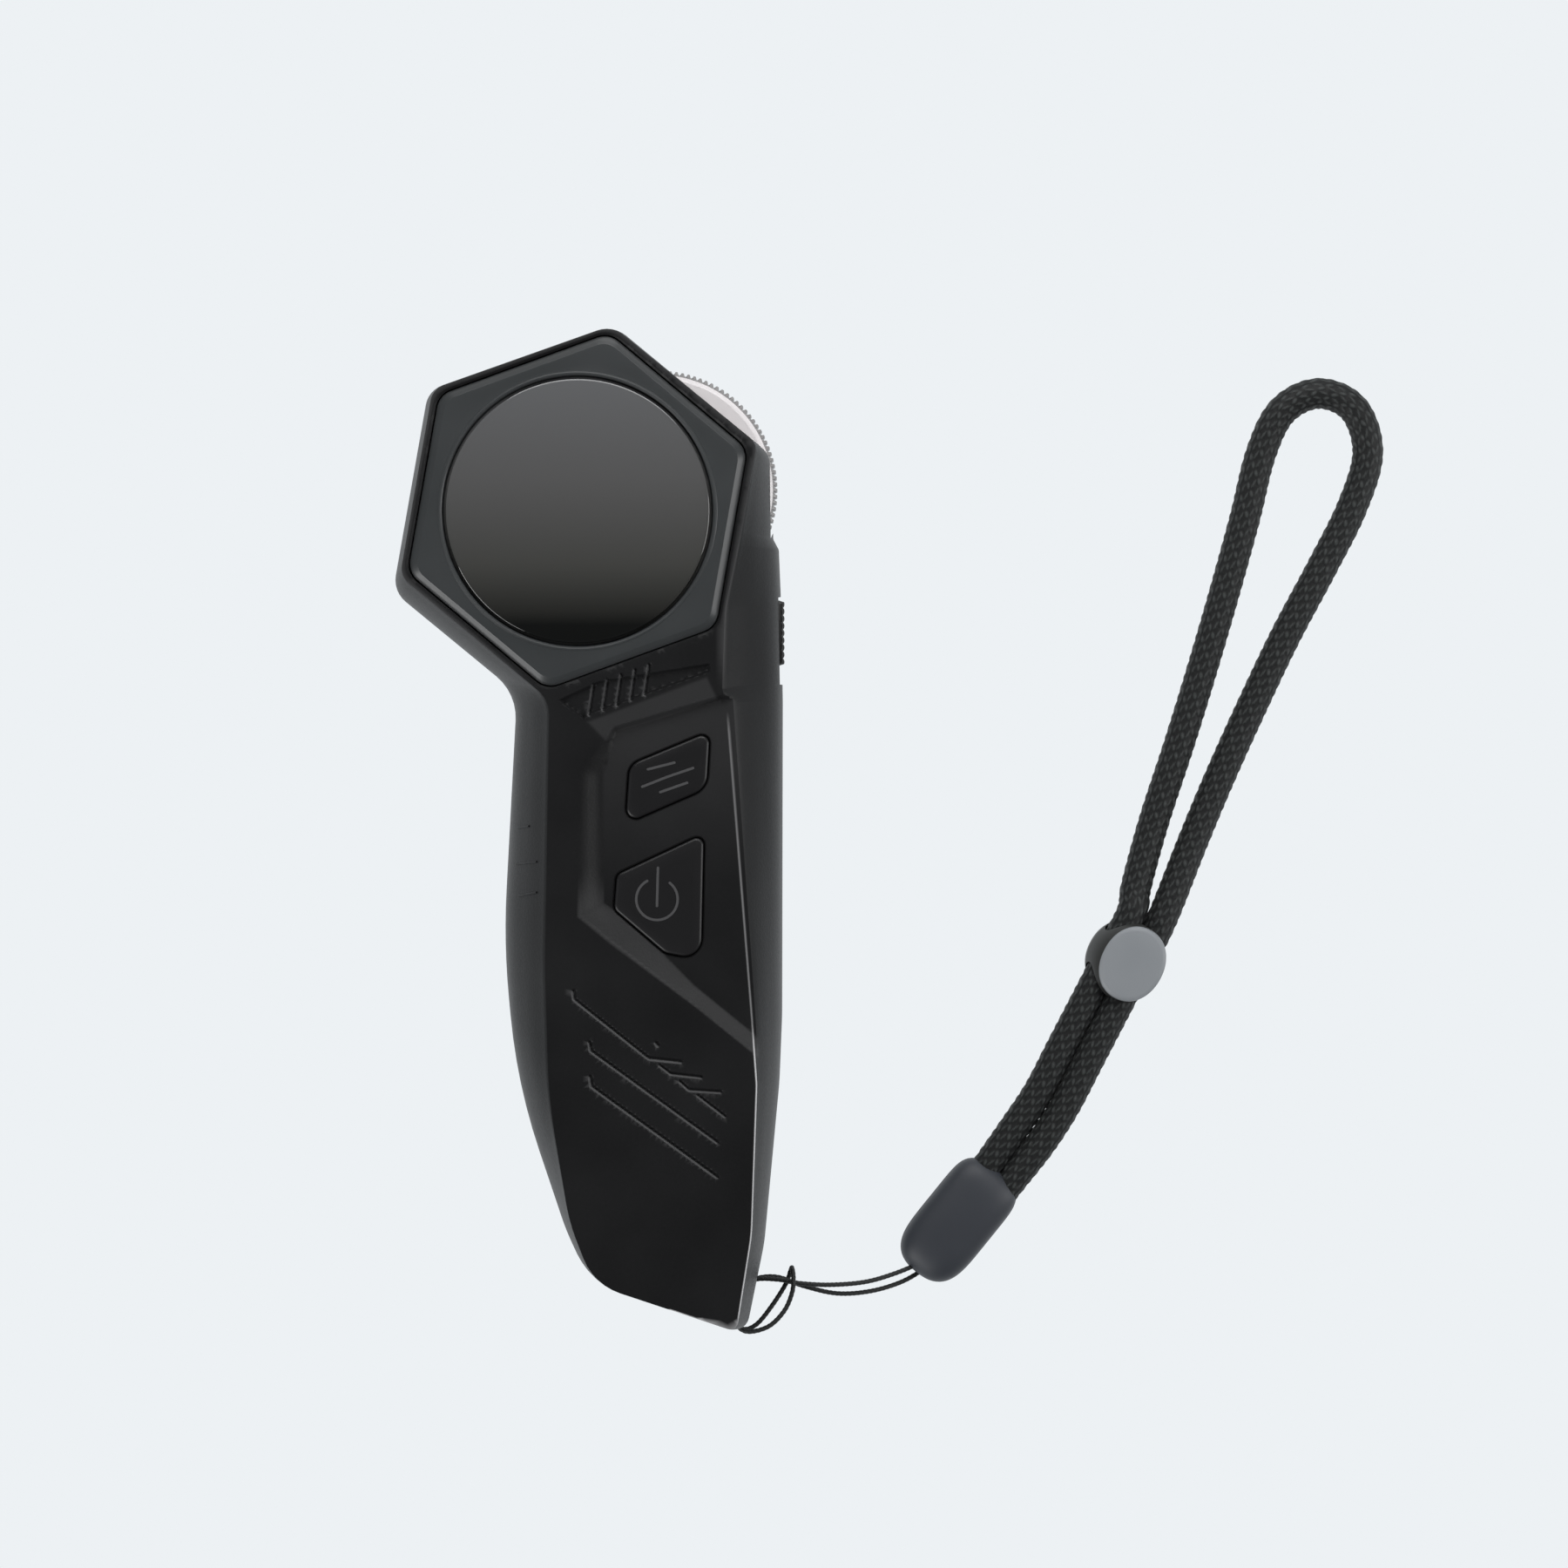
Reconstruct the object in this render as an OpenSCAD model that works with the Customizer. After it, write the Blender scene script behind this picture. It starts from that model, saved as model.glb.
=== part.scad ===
// One-hand wireless hand controller with a thumb wheel, a round display and a wrist cord.
// It lies on its back: +Z comes out of the display face, +Y runs from the grip to the head.
// The origin is at the bottom centre of the handset, cords left out. Units are millimetres.

/* [Handset] */
// Thickness of the handset from back to face
body_t = 34; // [33.5:0.5:36]
// Wall of the two shells
wall = 2.2; // [1.8:0.1:2.4]
// Depth of the button panel below the face
panel_depth = 1.2; // [0.8:0.1:1.4]
// Clearance between pieces that only sit together
gap = 0.15; // [0.1:0.05:0.2]

/* [Display] */
// Radius of the display window
window_r = 20; // [19.5:0.1:20.2]
// Corner radius of the hexagonal bezel plate, centre to corner
bezel_r = 27; // [26.6:0.1:27.1]
// Radius of the display module behind the window
module_r = 18.8; // [18:0.1:19]

/* [Thumb wheel] */
// Outer radius of the wheel over its knurl
wheel_r = 18; // [17.5:0.1:18.2]
// Thickness of the wheel
wheel_t = 10; // [8:0.5:11]
// Knurl teeth round the wheel
wheel_teeth = 72; // [48:12:96]
// Radius of the fixed axle
axle_r = 2; // [1.5:0.1:2.5]

/* [Keys and slide] */
// Travel of each key
key_travel = 0.8; // [0.4:0.1:0.8]
// Height of the key tops above the button panel
key_proud = 0.5; // [0.2:0.1:0.8]
// Travel of the slide knob
slide_travel = 2.4; // [1.5:0.1:2.6]
// Length of the slide knob
knob_l = 9.8; // [9:0.1:10]
// Width of the slide knob
knob_w = 6; // [4:0.5:8]

/* [Battery] */
// Radius of the cell
cell_r = 9; // [7:0.1:9]
// Length of the cell
cell_l = 65; // [50:1:66]

/* [Wrist cord] */
// Diameter of the braided cord
cord_d = 4.6; // [4:0.1:4.7]
// Diameter of the thin loop cord
loop_d = 0.7; // [0.5:0.1:0.8]
// Thickness of the cord lock
lock_t = 8; // [7.5:0.1:9]

/* [Hidden] */
$fn = 64;
eps = 0.01;

// Levels
mid_z = body_t / 2;
base_z = wall + 0.3;
panel_z = body_t - panel_depth;
deck_z = body_t - 4.4;         // underside of the front shell's deck
pocket_z = body_t - 2.4;       // floor of the bezel pocket
board_z = body_t - 10.5;       // underside of the main board
board_t = 1.6;
board_top = board_z + board_t;

// Centres, in X and Y
display = [-1.84, 47.68];
wheel = [9.98, 51.23];
bezel_turn = 20;               // direction of one corner of the bezel plate, in degrees
end_a = -18.3;                 // slope of the lower end wall, in degrees
mode_at = [11.5, 7.9];
power_at = [10.9, -9.6];
lanyard = [25.4, -72.6];       // centre of the curved cord channel
lanyard_r = 4.4;               // radius of the channel's curve
lanyard_z = 11;
boss_r = 2.6;                  // screw bosses
slide_y = 29.7;                // rest position of the slide knob
spring_r = 6.4;
hub_r = 3.2;
magnet_off = 11;               // wheel centre to magnet
screws = [[-21.5, 57.3], [-21.3, 36.8], [-2.4, 68.9], [19.8, -63.5], [-3.2, 12.2]];
board_posts = [[-11, 47.5], [-11, 55.5]];
board_screw_at = [[15.5, 20], [-2.6, -6], [18.5, -38]];

// Outlines, counter-clockwise: x, y and corner radius. A row in one matches the same row in the other.
// The widest outline, at half height
SIDE = [
    [3.4, 75.95, 4.5], [-24.7, 66, 3.5], [-30, 35.9, 4], [-11.4, 20.6, 8], [-13.4, -17, 110],
    [-11.4, -38.5, 90], [-3.9, -60.5, 40], [-0.3, -67.9, 11], [23.3, -75.7, 1.8], [26, -62.5, 30],
    [28.3, -38, 60], [28.7, -28, 60], [28.8, 19.2, 8], [28.75, 22.5, 8], [28.5, 35, 30],
    [28.2, 42.3, 1], [27.35, 43.9, 1], [27, 56.4, 3.2]
];
// The edge where the flanks meet the face
FACE = [
    [3.3, 75.4, 4.2], [-23.5, 65.9, 3], [-28.4, 37.9, 3], [-6.2, 19.5, 5], [-6.9, -20, 110],
    [-6.3, -40, 80], [-3.1, -58.5, 30], [0.5, -67.8, 9], [21.9, -74.9, 1.2], [24.2, -60.5, 30],
    [25, -38, 15], [24.3, -28, 15], [20.6, 19.2, 1], [20, 21.2, 1], [20.4, 33, 15],
    [22.3, 42.4, 20], [22.7, 44.5, 20], [25, 57.7, 2.2]
];
// Height above half height, as a part of the full half height, and how far the outline has
// moved from SIDE to FACE there
RISE = [
    [0, 0], [0.18, 0.02], [0.36, 0.1], [0.53, 0.26], [0.7, 0.5], [0.85, 0.77], [0.95, 0.95], [1, 1.03]
];

// The flat of the button panel, and the top edge of the slope round it
PANEL = [
    [3.9, 14.7], [2.2, 8], [2.2, -10.8], [6.5, -13.8], [15.7, -23.1], [27, -32.3], [34, -32.3],
    [34, 19.6], [19.4, 19.4]
];
PANEL_TOP = [
    [3.6, 15.6], [-1.6, 9], [-2, -13], [3.1, -17.2], [15.7, -26.5], [27, -35.6], [34, -35.6],
    [34, 20.4], [19.4, 20.2]
];
ARROW = [[-4.9, 19.4], [-0.9, 16.4], [-0.5, 17.1], [18, 23.6], [18, 25], [1.3, 22.3]];
// Ends of the straight grooves in the lower face
GROOVES = [
    [[-2.4, -24.6], [8.8, -33.4]], [[0, -32.4], [19.2, -46.8]], [[0.1, -37.6], [19.2, -52.2]],
    [[12.6, -36.6], [16.8, -37]], [[15.4, -39.2], [19.4, -39.5]]
];
groove_w = 1;
groove_deep = 0.45;

MODE_KEY = [[5.3, 1, 1.4], [17.4, 6.3, 3], [17.9, 14.8, 1.2], [5.9, 9.8, 2.5]];
POWER_KEY = [[4, -6.6, 1.4], [3.6, -11.8, 1.4], [11.2, -18.3, 2.6], [16.6, -19.3, 2.6], [17, -0.5, 1.1]];

// Cord routes: hand-laid points, in order along each cord
strand_dir = [cos(62.5), sin(62.5)];
strand_side = [sin(62.5), -cos(62.5)];
lock_at = [80.9, -19.9];
strand_off = 2.4;
strand_z = 4;
floor_z = 2.4;
cap_at = [55.4, -59.8];
cap_a = 51;
cap_l = 20;
cap_w = 11;
cap_t = 7.6;
function on_strand(d, side, z) = let(p = lock_at + d * strand_dir + side * strand_off * strand_side) [p.x, p.y, z];
WRIST = [
    [58, -55.5, 3.8], [60.6, -51.6, 3.9], [64.5, -45.6, 4], on_strand(-24, -1, strand_z),
    on_strand(-16, -1, strand_z), on_strand(-8, -1, strand_z), on_strand(0, -1, strand_z),
    on_strand(7, -1, strand_z), [82.8, -8.6, 3.2], [85.6, 1.5, floor_z], [89.2, 12.5, floor_z],
    [92.6, 23.5, floor_z], [96.1, 35.5, floor_z], [99.4, 47.5, floor_z], [101.9, 57.5, floor_z],
    [105.2, 64, floor_z], [110.7, 66.6, floor_z], [116.1, 64.2, floor_z], [118.2, 57.5, floor_z],
    [115.8, 49.2, floor_z], [111.2, 40, floor_z], [105.6, 29.5, floor_z], [100.4, 18.6, floor_z],
    [95.6, 8, floor_z], [91.4, -2, 2.7], on_strand(8, 1, 3.7), on_strand(0, 1, strand_z),
    on_strand(-8, 1, strand_z), on_strand(-16, 1, strand_z), on_strand(-24, 1, strand_z),
    [68.4, -48.1, 4], [64.4, -53.7, 3.9], [61.6, -57.7, 3.8]
];
LOOP = [
    [52.4, -64.4, 4.3], [49.6, -66.2, 4.6], [45.6, -67.8, 6], [41.2, -68.9, 8], [36, -69.2, 10.1],
    [31.4, -68.9, 11.3], [28, -68.3, 11.7], [24.6, -68.3, 11.7], [22.2, -69.6, 11.7], [21, -72.3, 11.7],
    [21.6, -74.9, 11.7], [23.4, -76.2, 11.9], [26.6, -75.4, 12.3], [29, -73, 12.8], [30.2, -70.2, 13.1],
    [30.4, -68, 12.6], [30.2, -66.6, 11.2], [30, -67, 9.6], [29.2, -69.2, 9.1], [27, -72.6, 9.6],
    [24.8, -75.2, 10], [22.8, -75.9, 10.3], [21.2, -74.4, 10.3], [21, -72, 10.3], [22.4, -69.4, 10.3],
    [24.8, -68.2, 10.3], [28, -68, 10.4], [32, -69.4, 10], [37, -70.6, 8.4], [42, -70.4, 6.4],
    [46.6, -69.2, 4.4], [50, -67.4, 3.3], [53, -65.2, 3]
];
LEAD = [[8, 5.2, 12], [8, 8, 12.6], [6, 10.5, 15.5], [4, 11.5, 19], [3, 12, 21.6]];

// Helpers
function unit(v) = v / norm(v);
function xy(p) = [p.x, p.y];
// A corner of a polygon rounded by an arc of steps + 1 points
function round_corner(a, b, c, steps) =
    let(
        p = xy(b), u = unit(xy(a) - p), v = unit(xy(c) - p),
        half = acos(max(-1, min(1, u * v))) / 2,
        reach = b.z / tan(half),
        centre = p + unit(u + v) * b.z / sin(half),
        s = p + u * reach - centre, e = p + v * reach - centre,
        sweep = 180 - 2 * half
    )
    [for (i = [0 : steps]) let(w = sweep * i / steps) centre + (s * sin(sweep - w) + e * sin(w)) / sin(sweep)];
function rounded(c, steps = 4) =
    let(n = len(c))
    [for (i = [0 : n - 1]) each round_corner(c[(i + n - 1) % n], c[i], c[(i + 1) % n], steps)];
// Corners moved inwards by d on a counter-clockwise outline, with their radii changed to match
function inset(c, d) =
    let(n = len(c))
    [for (i = [0 : n - 1])
        let(
            p = xy(c[i]), u = unit(xy(c[(i + n - 1) % n]) - p), v = unit(xy(c[(i + 1) % n]) - p),
            convex = (v.x * u.y - v.y * u.x) > 0,
            m = unit(u + v) * d / sin(acos(max(-1, min(1, u * v))) / 2)
        )
        [p.x + (convex ? m.x : -m.x), p.y + (convex ? m.y : -m.y),
         max(0.3, c[i].z + (convex ? -d : d))]];
function mixed(a, b, t) = [for (i = [0 : len(a) - 1]) a[i] + (b[i] - a[i]) * t];
function catmull(a, b, c, d, t) =
    0.5 * (2 * b + (c - a) * t + (2 * a - 5 * b + 4 * c - d) * t * t + (3 * b - a - 3 * c + d) * t * t * t);
// A smooth path through the points of a route, with steps points on each stretch
function smooth(p, steps) =
    let(n = len(p))
    [for (i = [0 : n - 2], k = [0 : steps - 1])
        catmull(p[max(i - 1, 0)], p[i], p[i + 1], p[min(i + 2, n - 1)], k / steps), p[n - 1]];
// One closed skin through rings of equal length, first ring at the bottom
module skin(rings) {
    n = len(rings[0]);
    m = len(rings);
    polyhedron(
        points = [for (r = rings) each r],
        faces = [
            [for (i = [0 : n - 1]) i],
            [for (i = [n - 1 : -1 : 0]) (m - 1) * n + i],
            for (k = [0 : m - 2], i = [0 : n - 1]) let(j = (i + 1) % n)
                each [[k * n + i, (k + 1) * n + i, k * n + j], [k * n + j, (k + 1) * n + i, (k + 1) * n + j]]
        ]
    );
}
// Half of the handset's form, from half height to the height rise above it, inset by d
module half_form(rise, d, up = true) {
    side = d == 0 ? SIDE : inset(SIDE, d);
    face = d == 0 ? FACE : inset(FACE, d);
    levels = up ? RISE : [for (i = [len(RISE) - 1 : -1 : 0]) RISE[i], [-0.03, 0]];
    skin([for (r = levels)
        let(z = mid_z + (up ? 1 : -1) * r[0] * rise)
        [for (p = mixed(rounded(side), rounded(face), r[1])) [p.x, p.y, z]]]);
}
module prism(pts, z0, z1) {
    translate([0, 0, z0]) linear_extrude(z1 - z0) polygon(pts);
}
module rod(at, r, z0, z1) {
    translate([at.x, at.y, z0]) cylinder(r = r, h = z1 - z0);
}
module ring(at, r0, r1, z0, z1) {
    translate([at.x, at.y, z0]) difference() {
        cylinder(r = r1, h = z1 - z0);
        translate([0, 0, -1]) cylinder(r = r0, h = z1 - z0 + 2);
    }
}
module block(lo, hi) {
    translate(lo) cube(hi - lo);
}
module groove(a, b, w, z) {
    d = b - a;
    translate([a.x, a.y, z]) rotate(atan2(d.y, d.x)) translate([0, -w / 2]) cube([norm(d), w, 2]);
}
// A round cord of sides flats along a path
module tube(path, r, sides) {
    n = len(path);
    skin([for (i = [n - 1 : -1 : 0])
        let(
            f = unit(path[min(i + 1, n - 1)] - path[max(i - 1, 0)]),
            flat = unit(cross(f, abs(f.z) > 0.9 ? [1, 0, 0] : [0, 0, 1])),
            up = cross(flat, f)
        )
        [for (k = [0 : sides - 1]) path[i] + r * (cos(360 * k / sides) * flat + sin(360 * k / sides) * up)]]);
}
module bezel_shape(r) {
    circle_pts = rounded([for (i = [0 : 5])
        [display.x + r * cos(bezel_turn + 60 * i), display.y + r * sin(bezel_turn + 60 * i), 3.4]]);
    polygon(circle_pts);
}
// Space that the wheel turns in, where it breaks through both shells
module wheel_slot() {
    rod(wheel, wheel_r + 0.5, mid_z - wheel_t / 2 - 0.6, mid_z + wheel_t / 2 + 0.6);
}
// Shallow recess for the slide knob, and the slot for its stem
module slide_cut() {
    block([27.5, 21.9, mid_z - knob_w / 2 - 1.2], [32, 35.2, mid_z + knob_w / 2 + 1.2]);
    block([22, slide_y - 2 - slide_travel, mid_z - 1.7], [32, slide_y + 2, mid_z + 1.7]);
}
module in_end_frame() {
    translate([11.3, -71.8, 0]) rotate(end_a) children();
}

// Casing
module front_shell() color("dimgray") difference() {
    union() {
        difference() {
            half_form(body_t - mid_z, 0);
            translate([0, 0, -eps]) half_form(deck_z - mid_z, wall);
        }
        for (s = screws) rod(s, boss_r, mid_z + eps, deck_z + 0.5);
        for (s = board_screw_at) rod(s, 1.9, board_top, deck_z + 0.5);
    }
    translate([0, 0, pocket_z]) linear_extrude(5) bezel_shape(bezel_r + gap);
    rod(display, module_r + 0.5, pocket_z - 3.5, body_t);
    skin([
        [for (p = PANEL) [p.x, p.y, panel_z]],
        [for (i = [0 : len(PANEL) - 1]) let(p = PANEL_TOP[i] + 0.5 * (PANEL_TOP[i] - PANEL[i])) [p.x, p.y, body_t + 0.6]]
    ]);
    prism(ARROW, body_t - 0.5, body_t + 1);
    for (g = GROOVES) groove(g[0], g[1], groove_w, body_t - groove_deep);
    prism(rounded(inset(MODE_KEY, -gap)), deck_z - 1, body_t);
    prism(rounded(inset(POWER_KEY, -gap)), deck_z - 1, body_t);
    prism(rounded(inset(MODE_KEY, -0.6)), deck_z - 1, panel_z - 1.8);
    prism(rounded(inset(POWER_KEY, -0.6)), deck_z - 1, panel_z - 1.8);
    wheel_slot();
    slide_cut();
    for (s = screws) rod(s, 1.6, mid_z - 1, mid_z + 6);
    for (s = board_screw_at) rod(s, 0.75, board_top - 1, board_top + 4);
    in_end_frame() block([-4.6, -3, board_top - 0.1], [4.6, 7.2, board_top + 3.4]);
}
// What stands on the inside of the back shell
module back_ribs() {
    for (s = screws) rod(s, boss_r, wall - 0.5, mid_z);
    // Boss under the wheel
    rod(wheel, 4.4, wall - 0.5, mid_z - wheel_t / 2 - 0.4);
    // Post that holds the fixed leg of the centring spring
    rod([wheel.x + spring_r, wheel.y - 3], 1.2, wall - 0.5, 9.5);
    // Rests of the slide switch
    for (y = [25.5, 32]) block([19.6, y, mid_z - 6], [25.6, y + 1.6, mid_z - 3.6]);
    // Cradle ribs of the cell
    for (y = [-50, -14]) block([-1.2, y, wall - 0.5], [20.4, y + 2, 12]);
    block([-1.2, 5.6, wall - 0.5], [20.4, 7.2, 9]);
    block([2, -62.3, wall - 0.5], [16.8, -60.7, 9]);
}
module back_shell() color("dimgray") difference() {
    union() {
        difference() {
            half_form(mid_z, 0, false);
            difference() {
                half_form(mid_z - wall, wall, false);
                rod(lanyard, lanyard_r + 2.4, 0, body_t);
            }
            block([-40, -90, mid_z], [40, 90, body_t]);
        }
        // Flat floor
        prism(rounded(inset(FACE, wall * 0.6)), wall - 1, base_z);
        back_ribs();
        for (p = board_posts) rod(p, 1.6, wall - 0.5, mid_z + 7.6);
    }
    translate([9.6, -60.4, 12.2]) rotate([-90, 0, 0]) cylinder(r = cell_r + 0.2, h = cell_l + 0.6);
    rod(wheel, axle_r, 4, body_t);
    wheel_slot();
    slide_cut();
    for (s = screws) {
        rod(s, 1.15, -1, body_t);
        rod(s, 2.15, -1, 9.4);
    }
    translate([lanyard.x, lanyard.y, lanyard_z]) rotate_extrude()
        translate([lanyard_r, 0]) square([1.4, 2.8], center = true);
}
module case_screws() color("gray") for (s = screws) difference() {
    union() {
        rod(s, 1.95, 7.4, 9.4);
        rod(s, 0.95, 9.3, mid_z + 5);
    }
    translate([s.x, s.y, 7]) cylinder(r = 0.9, h = 1.4, $fn = 6);
}
module thread_inserts() color("goldenrod") for (s = screws) ring(s, 1.0, 1.6, mid_z + 0.1, mid_z + 5.6);

// Display
module bezel_plate() color([0.17, 0.18, 0.19]) difference() {
    union() {
        translate([0, 0, pocket_z]) linear_extrude(1.6) bezel_shape(bezel_r);
        translate([0, 0, pocket_z + 1.5]) linear_extrude(0.9) bezel_shape(bezel_r - 2.2);
    }
    rod(display, window_r + 0.25, pocket_z + 0.9, body_t + 1);
    rod(display, module_r - 0.9, pocket_z - 1, body_t);
}
module display_window() color([0.08, 0.08, 0.09]) rod(display, window_r, pocket_z + 1.15, body_t + 0.05);
module window_gasket() color("black") ring(display, window_r - 2, window_r - 0.3, pocket_z + 0.9, pocket_z + 1.15);
module display_module() color([0.2, 0.2, 0.22]) {
    rod(display, module_r - 1.1, pocket_z - 0.2, pocket_z + 0.7);
    rod(display, module_r, pocket_z - 3.2, pocket_z - 0.2);
}
module display_ribbon() color("orange") translate([3, 0, 0]) rotate([90, 0, 90]) linear_extrude(8) polygon([
    [32, pocket_z - 3.25], [28.4, pocket_z - 3.25], [24.5, board_top + 1.25], [19, board_top + 1.25],
    [19, board_top + 0.95], [24.4, board_top + 0.95], [28.2, pocket_z - 3.55], [32, pocket_z - 3.55]
]);

// Electronics
module main_board() color("darkgreen") difference() {
    prism([[-4.6, 24], [-5, 14], [-5, -38], [0, -58], [4.4, -65.4], [15, -68.9], [16.6, -61.4],
           [21, -59.2], [20.8, -30], [18.6, -2], [17.6, 24]], board_z, board_top);
    rod(screws[4], 3.3, 0, body_t);
    for (s = board_screw_at) rod(s, 0.95, 0, body_t);
}
module board_screws() color("gray") for (s = board_screw_at) {
    rod(s, 1.6, board_z - 1.1, board_z);
    rod(s, 0.7, board_z - 0.2, board_top + 3.5);
}
module radio_module() color("silver") block([-1, -32, board_top], [13, -21, board_top + 2.6]);
module control_chips() color([0.12, 0.12, 0.12]) {
    block([2, -44, board_top], [9, -37, board_top + 1]);
    block([12, -46, board_top], [16, -41, board_top + 1.4]);
    block([3, 17.4, board_top], [11, 20.4, board_top + 0.9]);
    for (i = [0 : 4]) block([1 + 2.6 * i, -50, board_top], [2.6 + 2.6 * i, -49.2, board_top + 0.7]);
}
// Tact switch with its round button
module tact_switch(at) {
    color([0.15, 0.15, 0.15]) block([at.x - 3, at.y - 3, board_top], [at.x + 3, at.y + 3, board_top + 2.6]);
    color("white") rod(at, 1.7, board_top + 2.5, board_top + 3.5);
}
module mode_switch() tact_switch(mode_at);
module power_switch() tact_switch(power_at);
// Key cap with a retaining flange and a stem over its switch
module key(outline, at) color([0.13, 0.13, 0.14]) {
    prism(rounded(outline), panel_z - 2.8, panel_z + key_proud);
    prism(rounded(inset(outline, -0.4)), panel_z - 2.9, panel_z - 2.1);
    rod(at, 1.5, board_top + 3.6 + key_travel, panel_z - 2);
}
module mode_key() key(MODE_KEY, mode_at);
module power_key() key(POWER_KEY, power_at);
module charge_port() color("silver") in_end_frame() difference() {
    block([-4.47, 0.4, board_top], [4.47, 7.1, board_top + 3.26]);
    block([-4.1, -1, board_top + 0.35], [4.1, 6, board_top + 2.9]);
}
module vibration_motor() color("silver") rod([-15.8, 42.3], 4, base_z, base_z + 2.7);
module antenna_strip() color("darkgoldenrod") block([5, -44, deck_z - 0.42], [9, -26, deck_z - 0.02]);
module battery_cell() color("steelblue") translate([9.6, -60.1, 12.2]) rotate([-90, 0, 0]) cylinder(r = cell_r, h = cell_l);
module battery_pads() color([0.1, 0.1, 0.1]) for (y = [-42, -8])
    block([5, y, 12.2 + cell_r + 0.05], [14, y + 10, board_z - 0.1]);
module battery_lead() color("firebrick") {
    tube(smooth(LEAD, 3), 0.6, 8);
    tube([for (p = smooth(LEAD, 3)) p + [1.6, 0, 0]], 0.6, 8);
}
module battery_plug() color("ivory") block([1.6, 10, board_z - 1.8], [6.6, 14, board_z]);

// Slide switch on the thumb edge
module slide_switch() color("silver") difference() {
    block([19.4, 24.4, mid_z - 3.6], [23, 34.2, mid_z + 3.6]);
    block([20.4, slide_y - 1.2 - slide_travel, mid_z - 1.1], [24, slide_y + 1.2, mid_z + 1.1]);
}
module slide_lever() color("black") block([20.6, slide_y - 1, mid_z - 0.9], [25.4, slide_y + 1, mid_z + 0.9]);
module slide_knob() color([0.12, 0.12, 0.12]) difference() {
    union() {
        block([27.6, slide_y - knob_l / 2, mid_z - knob_w / 2], [28.6, slide_y + knob_l / 2, mid_z + knob_w / 2]);
        for (i = [0 : 5])
            translate([28.55, slide_y - knob_l / 2 + 0.1 + i * 1.76, mid_z - knob_w / 2]) cube([0.5, 0.9, knob_w]);
        block([23.2, slide_y - 1.8, mid_z - 1.5], [27.7, slide_y + 1.8, mid_z + 1.5]);
    }
    block([23, slide_y - 1.05, mid_z - 0.95], [25.5, slide_y + 1.05, mid_z + 0.95]);
}

// Thumb wheel
module thumb_wheel() color("silver") difference() {
    union() {
        rod(wheel, wheel_r - 0.45, mid_z - wheel_t / 2, mid_z + wheel_t / 2);
        for (i = [0 : wheel_teeth - 1]) translate([wheel.x, wheel.y, mid_z - wheel_t / 2 + 0.8])
            rotate(360 * i / wheel_teeth) translate([wheel_r - 0.7, -0.4, 0]) cube([0.7, 0.8, wheel_t - 1.6]);
    }
    rod(wheel, hub_r, 0, body_t);
    // Room for the centring spring
    rod(wheel, 9.6, 0, mid_z - wheel_t / 2 + 3.4);
    rod([wheel.x - magnet_off, wheel.y], 2, mid_z + wheel_t / 2 - 2, body_t);
}
module wheel_bushes() color("goldenrod") for (z = [mid_z - wheel_t / 2 + 3.6, mid_z + wheel_t / 2 - 2.6])
    ring(wheel, axle_r + 0.05, hub_r, z, z + 2.4);
module wheel_magnet() color("gray") rod([wheel.x - magnet_off, wheel.y], 2, mid_z + wheel_t / 2 - 2, mid_z + wheel_t / 2);
module wheel_axle() color("silver") rod(wheel, axle_r, 4, mid_z + wheel_t / 2 + 1.4);
module axle_clip() color("gray") ring(wheel, axle_r, 3.8, mid_z + wheel_t / 2 + 0.5, mid_z + wheel_t / 2 + 1.1);
// Torsion spring over the wheel's boss, in the recess under the wheel
module wheel_spring() color("gray") tube(concat(
    [[wheel.x + spring_r, wheel.y - 3, 9.5], [wheel.x + spring_r, wheel.y - 2.6, 11.6]],
    [for (i = [0 : 54]) let(a = 20 * i)
        [wheel.x + spring_r * cos(a), wheel.y + spring_r * sin(a), mid_z - 4.4 + 0.75 * a / 360]],
    [[wheel.x + spring_r + 2, wheel.y + 1, mid_z - 2.15]]
), 0.35, 6);
module wheel_board() color("darkgreen") block([-13, 45, mid_z + 7.6], [8, 58, mid_z + 8.6]);
module hall_sensor() color("black") block([-2.5, 49.7, mid_z + 6.4], [0.5, 52.7, mid_z + 7.6]);

// Wrist cord
module wrist_cord() color([0.07, 0.07, 0.07]) tube(smooth(WRIST, 2), cord_d / 2, 10);
module loop_cord() color([0.07, 0.07, 0.07]) tube(smooth(LOOP, 2), loop_d / 2, 6);
// Moulded cap, with a socket at each end for the cords
module end_cap() color([0.22, 0.23, 0.24]) translate([cap_at.x, cap_at.y, 0]) rotate(cap_a)
    translate([-cap_l / 2, 0, cap_t / 2]) rotate([90, 0, 90]) linear_extrude(cap_l) polygon(rounded([
        [-cap_w / 2, -cap_t / 2, 2.6], [cap_w / 2, -cap_t / 2, 2.6],
        [cap_w / 2, cap_t / 2, 2.6], [-cap_w / 2, cap_t / 2, 2.6]
    ]));
module cord_lock() color([0.5, 0.51, 0.53]) translate([lock_at.x, lock_at.y, 0]) rotate(62.5) difference() {
    linear_extrude(lock_t) polygon(rounded([[-6, -6.2, 4], [6, -6.2, 4], [6, 6.2, 4], [-6, 6.2, 4]]));
    for (s = [-1, 1]) translate([-10, s * strand_off, strand_z]) rotate([0, 90, 0]) cylinder(r = cord_d / 2 + 0.35, h = 20);
}

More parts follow.
